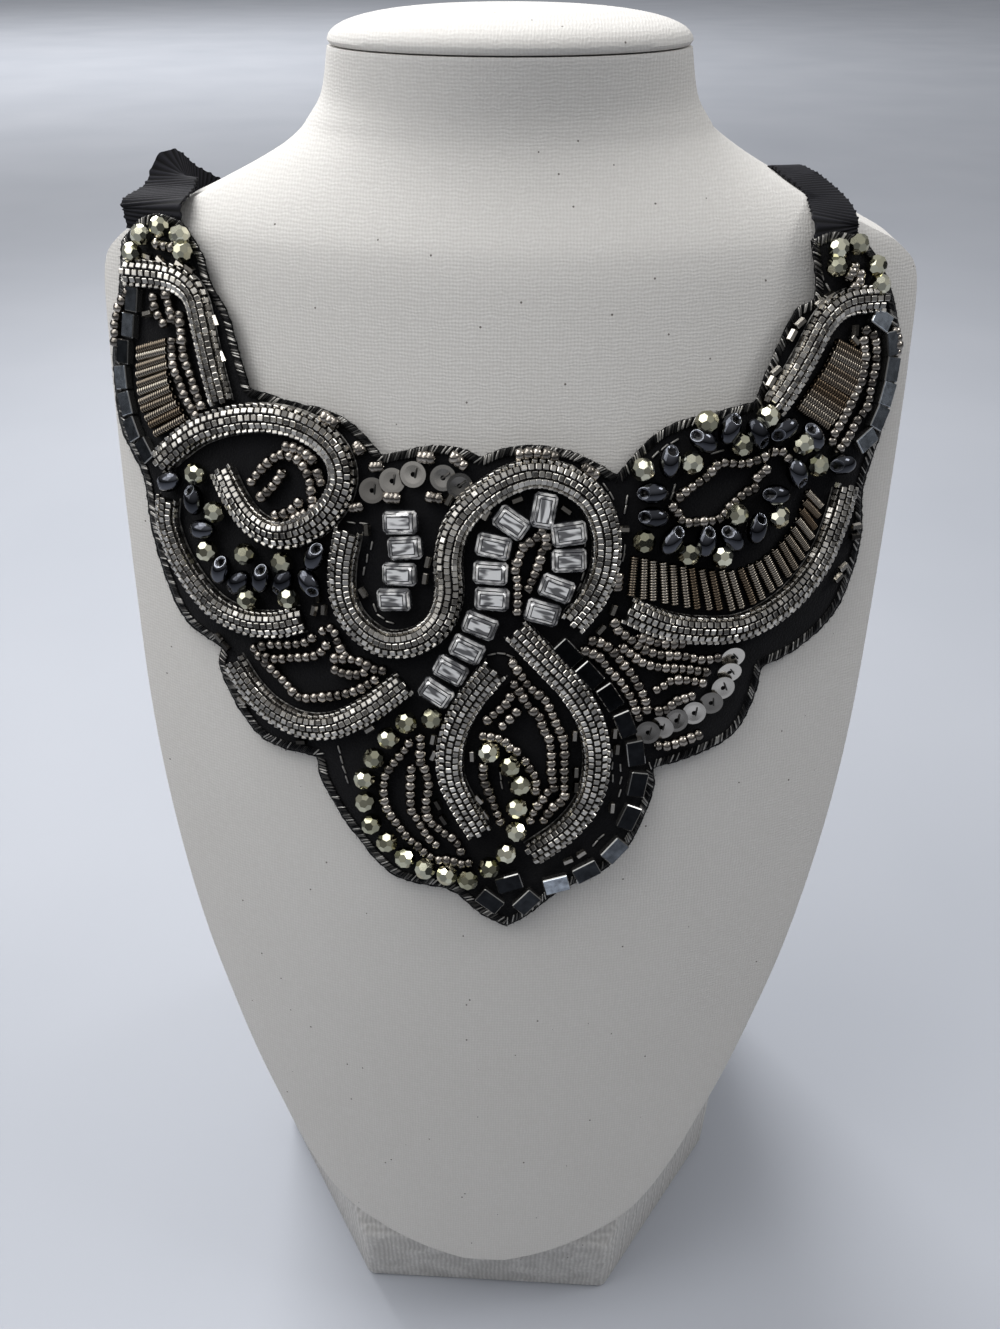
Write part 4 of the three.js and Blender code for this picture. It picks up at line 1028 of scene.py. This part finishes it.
# how much reflection is painted on the face of each tile, in order along each row
tilePaintedReflections = {
    "tiles_left_strap": [0.35, 0.9, 0.15, 1.5, 1.0, 0.6, 0.3],
    "tiles_right_strap": [1.8, 0.7, 0.8, 1.7, 0.9, 1.6],
    "tiles_bottom": [0.05, 0.08, 0.04, 0.05, 0.06, 0.04, 0.05, 0.5, 0.12, 1.6, 0.1, 0.05],
}
tileTurns = {"tiles_bottom": {9: 16, 10: 47, 11: -40}, "tiles_right_strap": {0: -28, 5: 38}}
for name, (kind, places) in strings.items():
    items = []
    for i, (u, v) in enumerate(places):
        turn = tileTurns.get(name, {}).get(i, headingAt(places, i))
        if kind == "facet":
            size = roundBead["topShare"] if name.endswith("top") else 1
            place = seat(u, v, turn, laid + roundBead["size"] / 2 * size) @ Matrix.Scale(size, 4) @ anyTurn()
            items.append(("facet", place, random.uniform(0.2, 1.0)))
        else:
            share = glassTile["strapShare"] if name.endswith("strap") else (1, 1)
            short = Matrix.Diagonal((*share, 1, 1))
            items.append(("tile", seat(u, v, turn, laid + glassTile["lift"]) @ short, tilePaintedReflections[name][i]))
    if name == "tiles_bottom":
        items.append(("tile", seat(1.8, -43.5, 17, laid + glassTile["lift"]), 0.05))
    scatter(f"{name}_cut", items, [name])

fields = {
    "beads_left_side": [
        ["facet", -60.9, 38.1, 0], ["oval", -61.3, 32.9, 90], ["facet", -57.1, 30.5, 0],
        ["oval", -59.6, 27, 0], ["facet", -58.6, 22.7, 0], ["oval", -55.8, 18.9, 65],
        ["facet", -51, 22.1, 0], ["oval", -52.3, 16.4, 38], ["facet", -50.4, 13.1, 0],
        ["oval", -47.7, 17.2, 70], ["facet", -43.7, 20.3, 0], ["oval", -43.4, 16.5, 55],
        ["facet", -42.3, 13.4, 0], ["oval", -66.2, 36.6, 15],
    ],
    "ovals_left_inner": [["oval", -37.1, 21.5, 60], ["oval", -38.2, 16.4, -60]],
    "beads_right_top_row": [
        ["facet", 28.6, 38.9, 0], ["oval", 34, 40.6, 88], ["facet", 38.4, 40.4, 0],
        ["oval", 40.7, 44.7, -30], ["facet", 41.4, 48.4, 0], ["oval", 46, 47.1, 70],
        ["facet", 48.4, 43.9, 0], ["oval", 51.5, 46.2, -60], ["facet", 53.6, 49.6, 0],
        ["oval", 56.8, 47, 30], ["facet", 60.6, 44.2, 0], ["oval", 62.6, 45.4, -55],
    ],
    "beads_right_side": [
        ["oval", 68.4, 40, 5], ["facet", 63.5, 39.9, 0], ["oval", 59.4, 38.3, -65],
        ["oval", 55.2, 33.9, -5], ["facet", 55.7, 29.6, 0], ["oval", 51.4, 27.2, 85],
        ["facet", 47.3, 29.9, 0], ["oval", 46.4, 25.2, -45], ["facet", 44.4, 21.6, 0],
        ["oval", 41.2, 24.5, 85], ["facet", 37.8, 22.1, 0], ["oval", 34.4, 24.8, 60],
        ["facet", 28.8, 24.6, 0], ["oval", 30.7, 29.4, -5], ["oval", 30.5, 34.3, 0],
    ],
}
for name, places in fields.items():
    items = []
    for kind, u, v, turn in places:
        if kind == "facet":
            place = seat(u, v, turn, laid + roundBead["size"] / 2) @ anyTurn()
            items.append(("facet", place, random.uniform(0.2, 1.0)))
        else:
            # a bead that lies across has its cut end to the left
            flip = 180 if -60 < turn < 60 else 0
            place = seat(u, v, turn + flip, laid + hematiteOval["lift"])
            items.append(("oval", place, random.uniform(0.3, 1.0)))
    scatter(f"{name}_polished", items, [name])
print("beads made")


# Sequins: discs that lap over each other, each tipped by the next
sequinRows = {
    "sequins_left": [[-25.6, 34.8], [-21.6, 36.7], [-17.4, 38]],
    "sequins_centre": [[-11.4, 37.3], [-8.1, 35.7]],
    "sequins_right": [
        [46.6, 1.4], [45.9, -1.6], [44.6, -4.7], [42.2, -7.7], [38.8, -9.7], [35.3, -11.2], [32.3, -12.6],
        [29.6, -13.6],
    ],
}
for name, places in sequinRows.items():
    items = []
    for i, (u, v) in enumerate(places):
        turn = headingAt(places, i)
        shade = random.choice([0.15, 0.4, 0.8, 1.0])
        items.append(("sequin", seat(u, v, turn, laid + sequin["lift"], random.uniform(3, 26)), shade))
        # the thread that holds it, from the hole outwards
        thread = seat(u + 0.5, v + 0.3, turn + 60, laid + 1.1) @ Matrix.Diagonal((1.1, 1, 1, 1))
        items.append(("stitch", thread, 0.1))
    scatter(f"{name}_discs", items, [name])


# Bugles of coiled wire
bugleRows = {
    "bugles_left_strap": [
        [[-72.4, 63.9], [-72.5, 58], [-71.7, 51.4], [-68.6, 45.4]],
        [[-66.3, 65.4], [-66.2, 60.6], [-65.4, 54.8], [-62.2, 48.9]], 11,
    ],
    "bugles_right_fan": [
        [[25.9, 21.9], [33, 20.6], [41, 19.2], [48, 19.4], [54, 22.6], [58.6, 28], [61.6, 35.6]],
        [[25.2, 13.9], [33, 12.1], [41, 10.9], [49, 11.4], [56.5, 16.4], [61.6, 23.4], [64.4, 32.8]], 23,
    ],
    "bugles_right_strap": [
        [[67.4, 65.2], [64.9, 60], [61.6, 55], [58.9, 51.2]],
        [[73.3, 61.9], [71.4, 56.2], [68.4, 50.8], [65.3, 46.8]], 13,
    ],
}
for name, (inner, outer, count) in bugleRows.items():
    innerLine, outerLine = curvePoints(inner, 0.25), curvePoints(outer, 0.25)
    items = []
    for i in range(count):
        share = (i + 0.5) / count
        a = innerLine[round(share * (len(innerLine) - 1))]
        b = outerLine[round(share * (len(outerLine) - 1))]
        start, end = (sight(*point, laid + bugle["radius"]) for point in (a, b))
        along = (end - start).normalized()
        normal = chestNormal(start.x, start.z)
        side = normal.cross(along).normalized()
        basis = Matrix((along, side, along.cross(side))).transposed().to_4x4()
        stretch = (end - start).length / bugle["length"] * random.uniform(*bugle["stretch"])
        place = Matrix.Translation((start + end) / 2) @ basis @ Matrix.Diagonal((stretch, 1, 1, 1))
        items.append(("coil", place, random.uniform(0.0, 1.0)))
    scatter(f"{name}_coils", items, [name])
print("bugles made")


# Seed beads in strings, by their middles
seedStrings = [
    [[-74.4, 74.2], [-76, 71.8], [-76.5, 69.9], [-76.8, 68], [-76.8, 66.4], [-76.8, 64.5]],
    [[-65.5, 64.7], [-65.3, 60.8], [-65, 58.9], [-63.9, 56.5], [-62.9, 53.6], [-61.5, 51.1], [-60.7, 49.7]],
    [[-63.9, 69.9], [-63.7, 67.2], [-63.1, 61.9], [-61.5, 57], [-60.2, 53.3], [-59.6, 51.7]],
    [[-69.2, 73.4], [-68.6, 70.6], [-67.2, 68.2]], [[-66.6, 73.8], [-66, 71.4], [-65.4, 69]],
    [[-68.5, 84.1], [-65.6, 83.4]],
    [[-43.7, 42], [-40.7, 41.2], [-38.6, 38.5], [-37.7, 34.8], [-37.3, 31.3]],
    [[-42.6, 43.6], [-40, 43], [-37.4, 41]], [[-36.4, 38.4], [-35.7, 36.4]],
    [[-40.2, 32.4], [-41.6, 31], [-43, 30.2], [-44.8, 30]], [[-39, 30.2], [-41, 29.2]],
    [[-47.6, 33.6], [-45.4, 35.6], [-43.6, 38.2]], [[-49.6, 36.6], [-47.4, 39.4], [-45, 41.4]],
    [[-35, 49.4], [-33, 48.2]], [[-28.6, 43.7], [-28, 42.8]], [[-25.4, 39.5], [-24, 39.6]],
    [[-29.5, 31.3], [-28, 31.6]], [[-22.4, 33.4], [-20.6, 33.2]], [[-14, 33.5], [-12.2, 33.2]],
    [[-15.8, 41.5], [-13.9, 41.3]], [[-9.2, 41.4], [-7.3, 39.8]],
    [[3.9, 41.9], [6.1, 42.2], [8.8, 42.1], [10.9, 41.5]], [[17, 39.3], [18.9, 37.9]],
    [[8.4, 26.7], [6.9, 25.1], [4.7, 23.6], [3.5, 20.7], [3, 18.8], [3.4, 16.7], [3.5, 14.7], [3.4, 10.6]],
    [[9.2, 25.4], [9.3, 24], [8.3, 22.5], [8, 20.8], [7.2, 18.9], [6.6, 17.3], [5.7, 15.2]],
    [[23.6, 17.6], [23.5, 15.4]], [[-49, 3.3], [-46.2, 4], [-42.8, 4], [-39.2, 4.4], [-37.5, 5.4]],
    [[-48.1, 1.8], [-44.6, 1.2], [-41.8, 1.4], [-37.5, 1.7], [-35.8, 2.5], [-34.7, 3.9]],
    [[-35.4, 6.8], [-33.4, 7.3], [-32.6, 5.2], [-32, 3.6], [-30.9, 2]],
    [[-33, 1.3], [-29, 1], [-27.4, 0.4], [-25.2, -0.8], [-23.4, -1.1]],
    [[-32.9, -1], [-31.1, -1.7], [-28.9, -2], [-27.1, -1.5]],
    [
        [-46.8, 0.4], [-45.2, -1.2], [-42.5, -3.9], [-41.2, -5.5], [-39.5, -6.6], [-35.1, -6.4],
        [-31.8, -6], [-29.9, -5.5], [-28.1, -4.9], [-25, -3],
    ],
    [
        [-18.2, -15.6], [-19.4, -17.5], [-20.9, -19.2], [-22.9, -22.1], [-23.2, -26], [-22.5, -28.9],
        [-21, -31.1], [-18.4, -34.6], [-16.9, -35.7], [-15.7, -37], [-14, -38.4],
    ],
    [[-17.7, -20.8], [-17.9, -24.1], [-17.7, -28.9], [-16.7, -30.6], [-14.5, -34.2], [-12.8, -35.9]],
    [
        [-16, -14.5], [-15.8, -16.3], [-16, -19], [-15.1, -20.5], [-14.2, -24.1], [-14.8, -27.8],
        [-14.2, -31.1], [-13, -32], [-11.3, -33.5], [-9, -35], [-7.8, -37.2],
    ],
    [[-12.2, -39], [-9.9, -39], [-8.2, -39.8], [-6.2, -39.6]],
    [[-3.3, -20.5], [-3.3, -22.3], [-2.7, -24.2], [-1.9, -26], [-0.4, -29.9], [0.1, -31.3]],
    [[-3.4, -14.2], [-1.2, -14.6], [0.5, -15], [1.8, -16.5], [3.3, -17.3]],
    [[2, -6.4], [1, -8], [-0.9, -9.6], [-2.5, -11]], [[3.3, -9.4], [2, -10.8], [0.5, -12.2]],
    [
        [2.5, 0.3], [3.5, -1.1], [4.8, -2.9], [6.1, -4.6], [8.8, -6.8], [9.7, -8.2], [11.3, -12],
        [12.3, -14], [12.9, -17.1], [12.8, -20.6], [12.8, -24.1], [12.7, -26.8], [11, -28], [9.7, -29.5],
        [8.7, -31],
    ],
    [
        [2.8, -3.9], [3.8, -5.2], [5, -7.2], [6.2, -8.8], [8.2, -10.9], [8.4, -12.8], [9.6, -14.2],
        [10.2, -17.9], [10.2, -21.5], [10.7, -24.7], [9.4, -25.5], [8.4, -26.9], [6.9, -28.8], [6, -31],
    ],
    [[5, -19.3], [5.8, -20.7], [7, -22.5], [7, -25.1]],
    [
        [18.4, 4.8], [20.4, 4.3], [22, 3.2], [23.4, 1.6], [24.7, 0], [26, -1.5], [27.1, -3.2], [28.9, -6.8],
        [29.3, -8.9],
    ],
    [[17, 2.8], [19.8, 1.5], [22, -1.4], [24, -3.3], [25.2, -5.3], [26.2, -6.8], [27.6, -10.5]],
    [[22.9, 8.4], [23.6, 6.9], [25.6, 5.5], [28.8, 3.1], [32.3, 2], [36.4, 1.8], [40.4, 1], [43.4, 1.4]],
    [[24.6, 3.3], [26.4, 2], [27.8, 0.8], [29.9, -0.1], [33.4, -0.6], [37.2, -0.8], [41, -1.4]],
    [[31.2, -5], [32.5, -4.3], [34, -3.2], [37, -3], [40.4, -3.6]], [[28.3, 5.4], [32.2, 4.3], [36.2, 4.2]],
    [[31.6, -9.2], [33.4, -8.8], [35, -7.3], [38.2, -6.2]],
    [[31.6, -16.2], [33.5, -16.2], [36, -15.4], [39.6, -14]],
    [
        [73, 66.9], [74.8, 65.3], [75, 60.3], [74.2, 56.8], [73.3, 51.9], [71.2, 48.8], [69.3, 45.2],
        [67.8, 43.2],
    ],
    [[72.5, 64.8], [72.8, 61], [72, 56.6], [70.5, 53.4], [68.8, 49.8], [66.6, 46], [66.2, 44.6]],
    [[79, 66.6], [79.4, 64.6], [79.2, 62.4]], [[70.8, 79.4], [69.7, 77.5]],
    [[71.9, 78], [71.7, 76.5], [70.8, 75.4]],
    [
        [34.4, 31.5], [35.7, 30.1], [36.8, 28.4], [40.4, 28.6], [43.2, 28.9], [44.8, 30.2], [46.2, 31.9],
        [48.7, 34.2], [50.8, 35.3],
    ],
    [
        [35.8, 33.5], [37.3, 34.8], [40.3, 37], [41.6, 37.9], [42.7, 39.4], [44.4, 40.4], [47.7, 40.2],
        [50.2, 40.6], [52.7, 41.6],
    ],
    [[51.3, 37.3], [53.1, 39]], [[54.6, 42.6], [56.4, 42.6], [57.5, 41.3]],
]
seedSize = {"pitch": 1.64, "lift": 1.02, "sway": 14, "tip": 12, "share": (0.9, 1.12)}
seedItems = []
for route in seedStrings:
    line = curvePoints(route, seedSize["pitch"])
    for i, (u, v) in enumerate(line):
        turn = headingAt(line, i) + random.uniform(-seedSize["sway"], seedSize["sway"])
        size = random.uniform(*seedSize["share"])
        lift = laid + seedSize["lift"] + random.uniform(-0.1, 0.2)
        place = seat(u, v, turn, lift, random.uniform(-seedSize["tip"], seedSize["tip"]))
        place = place @ Matrix.Diagonal((size, size, size, 1))
        seedItems.append(("seed", place, random.uniform(0.15, 1.0)))
scatter("seed_beads", seedItems, [])

cutBits = [
    [-26.6, 26.9, 90], [-27.4, 14.4, -60], [-36.3, 13.5, 90], [-14.5, 20.5, 75], [-15, 17.2, 80],
    [-10.2, 32.9, 60], [3.5, 32.9, 20], [13.2, 30.9, -35], [-2.7, 29.9, 60], [24.7, 27, 0],
    [22.7, 10.9, 70], [-56.2, 5.4, -50], [-54.8, 3.7, -50], [-51.5, -7.2, -45], [-39.7, -15.4, 0],
    [-26, -12.9, 30], [-37.2, 10.9, 70], [-35.2, 11, 80], [-13.4, -14.9, 75], [-13.3, -18.1, 65],
    [-12.4, -28, -65], [-11.3, -31, -60], [-4.2, -26.9, -50], [-3, -30, -60], [-5.5, -2.7, 50],
    [-5.6, -18.3, 90], [20.2, 7, 50], [22.9, -13.7, 90], [23.4, -16.9, 90], [14.9, -14.2, 90],
    [15.2, -21.5, 90], [15.2, -24.5, 90], [22.4, -28.6, 90], [16.2, -37.8, 38], [13.6, -39.2, 25],
    [65.9, 73.6, 25], [64, 72.2, 35], [60, 68.2, 40], [58.4, 65.8, 60], [55.2, 58.6, 40], [54.2, 56.5, 60],
    [70.8, 64.8, -40], [71, 66.8, 90], [-70.4, 81.5, -15], [-67.7, 80.7, -40], [-63.8, 79.9, -30],
    [-61.9, 79, -30], [-58.6, 71.6, -60], [-57.2, 68.6, -65], [-55.8, 61.4, -65], [-70.4, 70.2, 10],
    [71.2, 27.6, 10], [70.9, 25.6, 5], [68.6, 19.5, 40], [67.6, 17.4, 45],
]
scatter("cut_beads", [
    ("bit", seat(u, v, turn, laid + 0.8), random.choice([0.1, 0.4, 0.8, 1.0])) for u, v, turn in cutBits
], [])

# running stitches in metal thread beside the cables
stitchLines = [
    [[-31, 28.5], [-26, 28.1]], [[-25.2, 25], [-26.6, 21.4], [-27.5, 17.4]],
    [[-32.4, -16], [-31.5, -19.8], [-30.3, -24]], [[20.5, 36.4], [22.9, 32.9]], [[25.5, 34], [24.9, 30]],
    [[25, 24], [24.6, 20.6]], [[30.2, 41.2], [33, 43.6], [36, 45.2]], [[42.5, 42.2], [44.5, 42.8]],
    [[35, 36], [34.2, 33]], [[49.3, 30.4], [49.4, 26.5]], [[-2.6, 1.7], [0.2, 2.4], [3, 1.2]],
    [[24, -19.4], [24.2, -23], [23.8, -27]], [[22.3, -16.5], [22.6, -24]], [[18.4, -36.4], [20.8, -33.8]],
    [[0, -21.4], [0.4, -25]], [[64.2, 79], [64.8, 76.4], [66.4, 74.4]],
    [[-25.4, 12.4], [-24.2, 9.6], [-21, 8]], [[-12.9, 12.6], [-13, 17.8], [-12.9, 22.6]],
    [[17, 25.6], [17, 19.4], [15.4, 14.4]],
]
stitches = {"pitch": 2.3, "sway": 8}
stitchItems = []
for route in stitchLines:
    line = curvePoints(route, stitches["pitch"])
    for a, b in zip(line, line[1:]):
        turn = headingAt((a, b), 0) + random.uniform(-stitches["sway"], stitches["sway"])
        place = seat((a[0] + b[0]) / 2, (a[1] + b[1]) / 2, turn, laid)
        stitchItems.append(("stitch", place, random.uniform(0.6, 1.0)))
scatter("running_stitches", stitchItems, [])
print("small beads made:", len(seedItems))


# The ribbons
ribbon = {
    "width": 16, "thickness": 0.5, "rib": 0.95, "relief": 0.24, "scallop": 0.16, "columns": 12,
    "clasp": (0, 0.505, 0.868), "claspHalf": 4.8,
}
ribbonRoutes = {
    "ribbon_left": {
        "tuck": [-68.9, 86.4], "start": [-69.6, 92.1], "gather": 0.92, "wide": [0.9, -0.42, 0],
        "bends": [
            [-0.815, -0.266, 0.908, 0.78, 0.85, -0.5, 0],
            [-0.803, -0.119, 0.916, 0.52, 0.25, -0.75, -0.6],
            [-0.785, 0.12, 0.9, 0.42, 0.13, -0.33, -0.93],
            [-0.702, 0.305, 0.878, 0.55, 0.05, -0.15, -0.98],
            [-0.56, 0.389, 0.872, 1, 0, -0.1, -1],
            [-0.262, 0.483, 0.869, 1, 0, 0, -1],
        ],
    },
    "ribbon_right": {
        "tuck": [67, 82.6], "start": [67.2, 88.4], "gather": 0.62, "wide": [0.87, 0.49, 0],
        "bends": [
            [0.748, -0.325, 0.908, 0.5, 0.7, 0.7, 0.1],
            [0.705, -0.124, 0.917, 0.48, 0.35, 0.9, 0.1],
            [0.678, 0.104, 0.917, 0.45, 0.3, 0.9, -0.2],
            [0.625, 0.337, 0.9, 0.5, 0.15, 0.45, -0.85],
            [0.512, 0.433, 0.886, 0.85, 0, 0.1, -1],
            [0.262, 0.494, 0.868, 1, 0, 0, -1],
        ],
    },
}


def bustPlace(side, back, climb):
    height = chest["tipHeight"] + climb * tall
    flatBack = bustBack(height)
    depth = flatBack + back * (neckY + chest["neckDepth"] / 2 - flatBack)
    return Vector((side * chest["width"] / 2, depth, height))


def makeRibbon(name, route):
    side = math.copysign(1, route["start"][0])
    end = bustPlace(*ribbon["clasp"])
    end.x = side * ribbon["claspHalf"]
    # tucked in under the felt's top edge, where it is sewn on
    stations = [[*sight(*route["tuck"], 0.3), route["gather"], *route["wide"]]]
    stations.append([*sight(*route["start"], 1.6), route["gather"], *route["wide"]])
    stations += [[*bustPlace(*bend[:3]), *bend[3:]] for bend in route["bends"]]
    stations.append([*end, 1, 0, 0, -1])
    line = curvePoints(stations, ribbon["rib"] / 4, 40)
    columns = ribbon["columns"]
    rings, tints = [], []
    for i, row in enumerate(line):
        centre, gather, wide = Vector(row[:3]), row[3], Vector(row[4:])
        tangent = (Vector(line[min(len(line) - 1, i + 1)][:3]) - Vector(line[max(0, i - 1)][:3])).normalized()
        wide = (wide - tangent * wide.dot(tangent)).normalized()
        thick = tangent.cross(wide)
        wave = math.cos(i * math.pi / 2)
        half = gather * ribbon["width"] / 2 + ribbon["scallop"] * math.cos(i * math.pi / 4)
        depth = ribbon["thickness"] / 2 + ribbon["relief"] * wave / 2
        over = [centre + wide * half * (2 * k / columns - 1) + thick * depth for k in range(columns + 1)]
        under = [centre + wide * half * (1 - 2 * k / columns) - thick * depth for k in range(columns + 1)]
        rings.append(over + under)
        # rib crests painted lighter and troughs darker: painted highlight and painted shade
        tints += [0.5 + 0.5 * wave] * (2 * columns + 2)
    piece = makeLoft(f"{name}_band", rings, ["ribbon"], True, tints)
    shadeSmooth(piece, 60)
    return finishPiece(piece, [name])


for ribbonName, ribbonRoute in ribbonRoutes.items():
    makeRibbon(ribbonName, ribbonRoute)
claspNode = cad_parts["ribbon_clasp"]
claspNode.data.materials.clear()
claspNode.data.materials.append(materials["clasp"])
print("ribbons made")


# The floor, the light and the camera
def makeStage():
    material, shader = startMaterial("paintedBoard", Roughness=0.7, Specular_IOR_Level=0.3)
    place = addNode(material, **objectPlace)
    cloud = addNode(material, **noise, inputs={"Vector": place, "Scale": perMetre(250), "Detail": 3.0})
    colour = addNode(material, **blend, inputs={0: cloud, 6: "#a4a8b0", 7: "#b4b7be"})
    finishMaterial(material, shader, colour)
    bpy.ops.mesh.primitive_plane_add(size=24)
    floor = bpy.context.object
    floor.name = "floor"
    floor.data.materials.append(material)

    world = bpy.data.worlds.new("softRoom")
    bpy.context.scene.world = world
    world.use_nodes = True
    tree = world.node_tree
    background = tree.nodes["Background"]
    coordinate = tree.nodes.new("ShaderNodeTexCoord")
    parts = tree.nodes.new("ShaderNodeSeparateXYZ")
    ramp = tree.nodes.new("ShaderNodeValToRGB")
    tree.links.new(coordinate.outputs["Generated"], parts.inputs[0])
    tree.links.new(parts.outputs[2], ramp.inputs[0])
    ramp.color_ramp.elements[0].position = 0.05
    ramp.color_ramp.elements[0].color = hexColour("#3f4145")
    ramp.color_ramp.elements[1].position = 0.75
    ramp.color_ramp.elements[1].color = hexColour("#fbfcff")
    tree.links.new(ramp.outputs[0], background.inputs[0])
    background.inputs[1].default_value = 0.55

    lights = {
        "topLight": {"place": (-0.25, 0.0, 0.8), "aim": (0, 0, 0.2), "size": 0.5, "power": 2.0},
        "shoulderLight": {"place": (-0.35, 0.6, 0.9), "aim": (0, 0.05, 0.25), "size": 0.5, "power": 8},
        "farLight": {"place": (-1.4, 3.2, 2.4), "aim": (-1.4, 4.4, 0), "size": 2.5, "power": 100},
        "nearLight": {"place": (-0.24, -0.12, 0.42), "aim": (-0.03, 0, 0.24), "size": 0.25, "power": 0.26},
        "leftLight": {"place": (-0.9, -0.2, 0.75), "aim": (0, 0, 0.2), "size": 0.4, "power": 0.5},
        "rightLight": {"place": (0.75, 0.05, 0.9), "aim": (0, 0, 0.2), "size": 0.3, "power": 2.2},
    }
    for name, settings in lights.items():
        light = bpy.data.lights.new(name, "AREA")
        light.size = settings["size"]
        light.energy = settings["power"]
        lamp = bpy.data.objects.new(name, light)
        lamp.location = settings["place"]
        aim = Vector(settings["aim"]) - lamp.location
        lamp.rotation_euler = aim.to_track_quat("-Z", "Y").to_euler()
        bpy.context.scene.collection.objects.link(lamp)

    camera = bpy.data.cameras.new("view")
    camera.lens = camera.sensor_width * eye["plate"] / eye["picture"]
    camera.clip_start = 0.01
    viewer = bpy.data.objects.new("view", camera)
    viewer.location = eye["place"] * millimetre
    viewer.rotation_euler = (math.radians(90 - eye["pitch"]), 0, math.radians(eye["turn"]))
    bpy.context.scene.collection.objects.link(viewer)
    bpy.context.scene.camera = viewer
    bpy.context.scene.view_settings.view_transform = "Standard"


makeStage()
print("stage made")
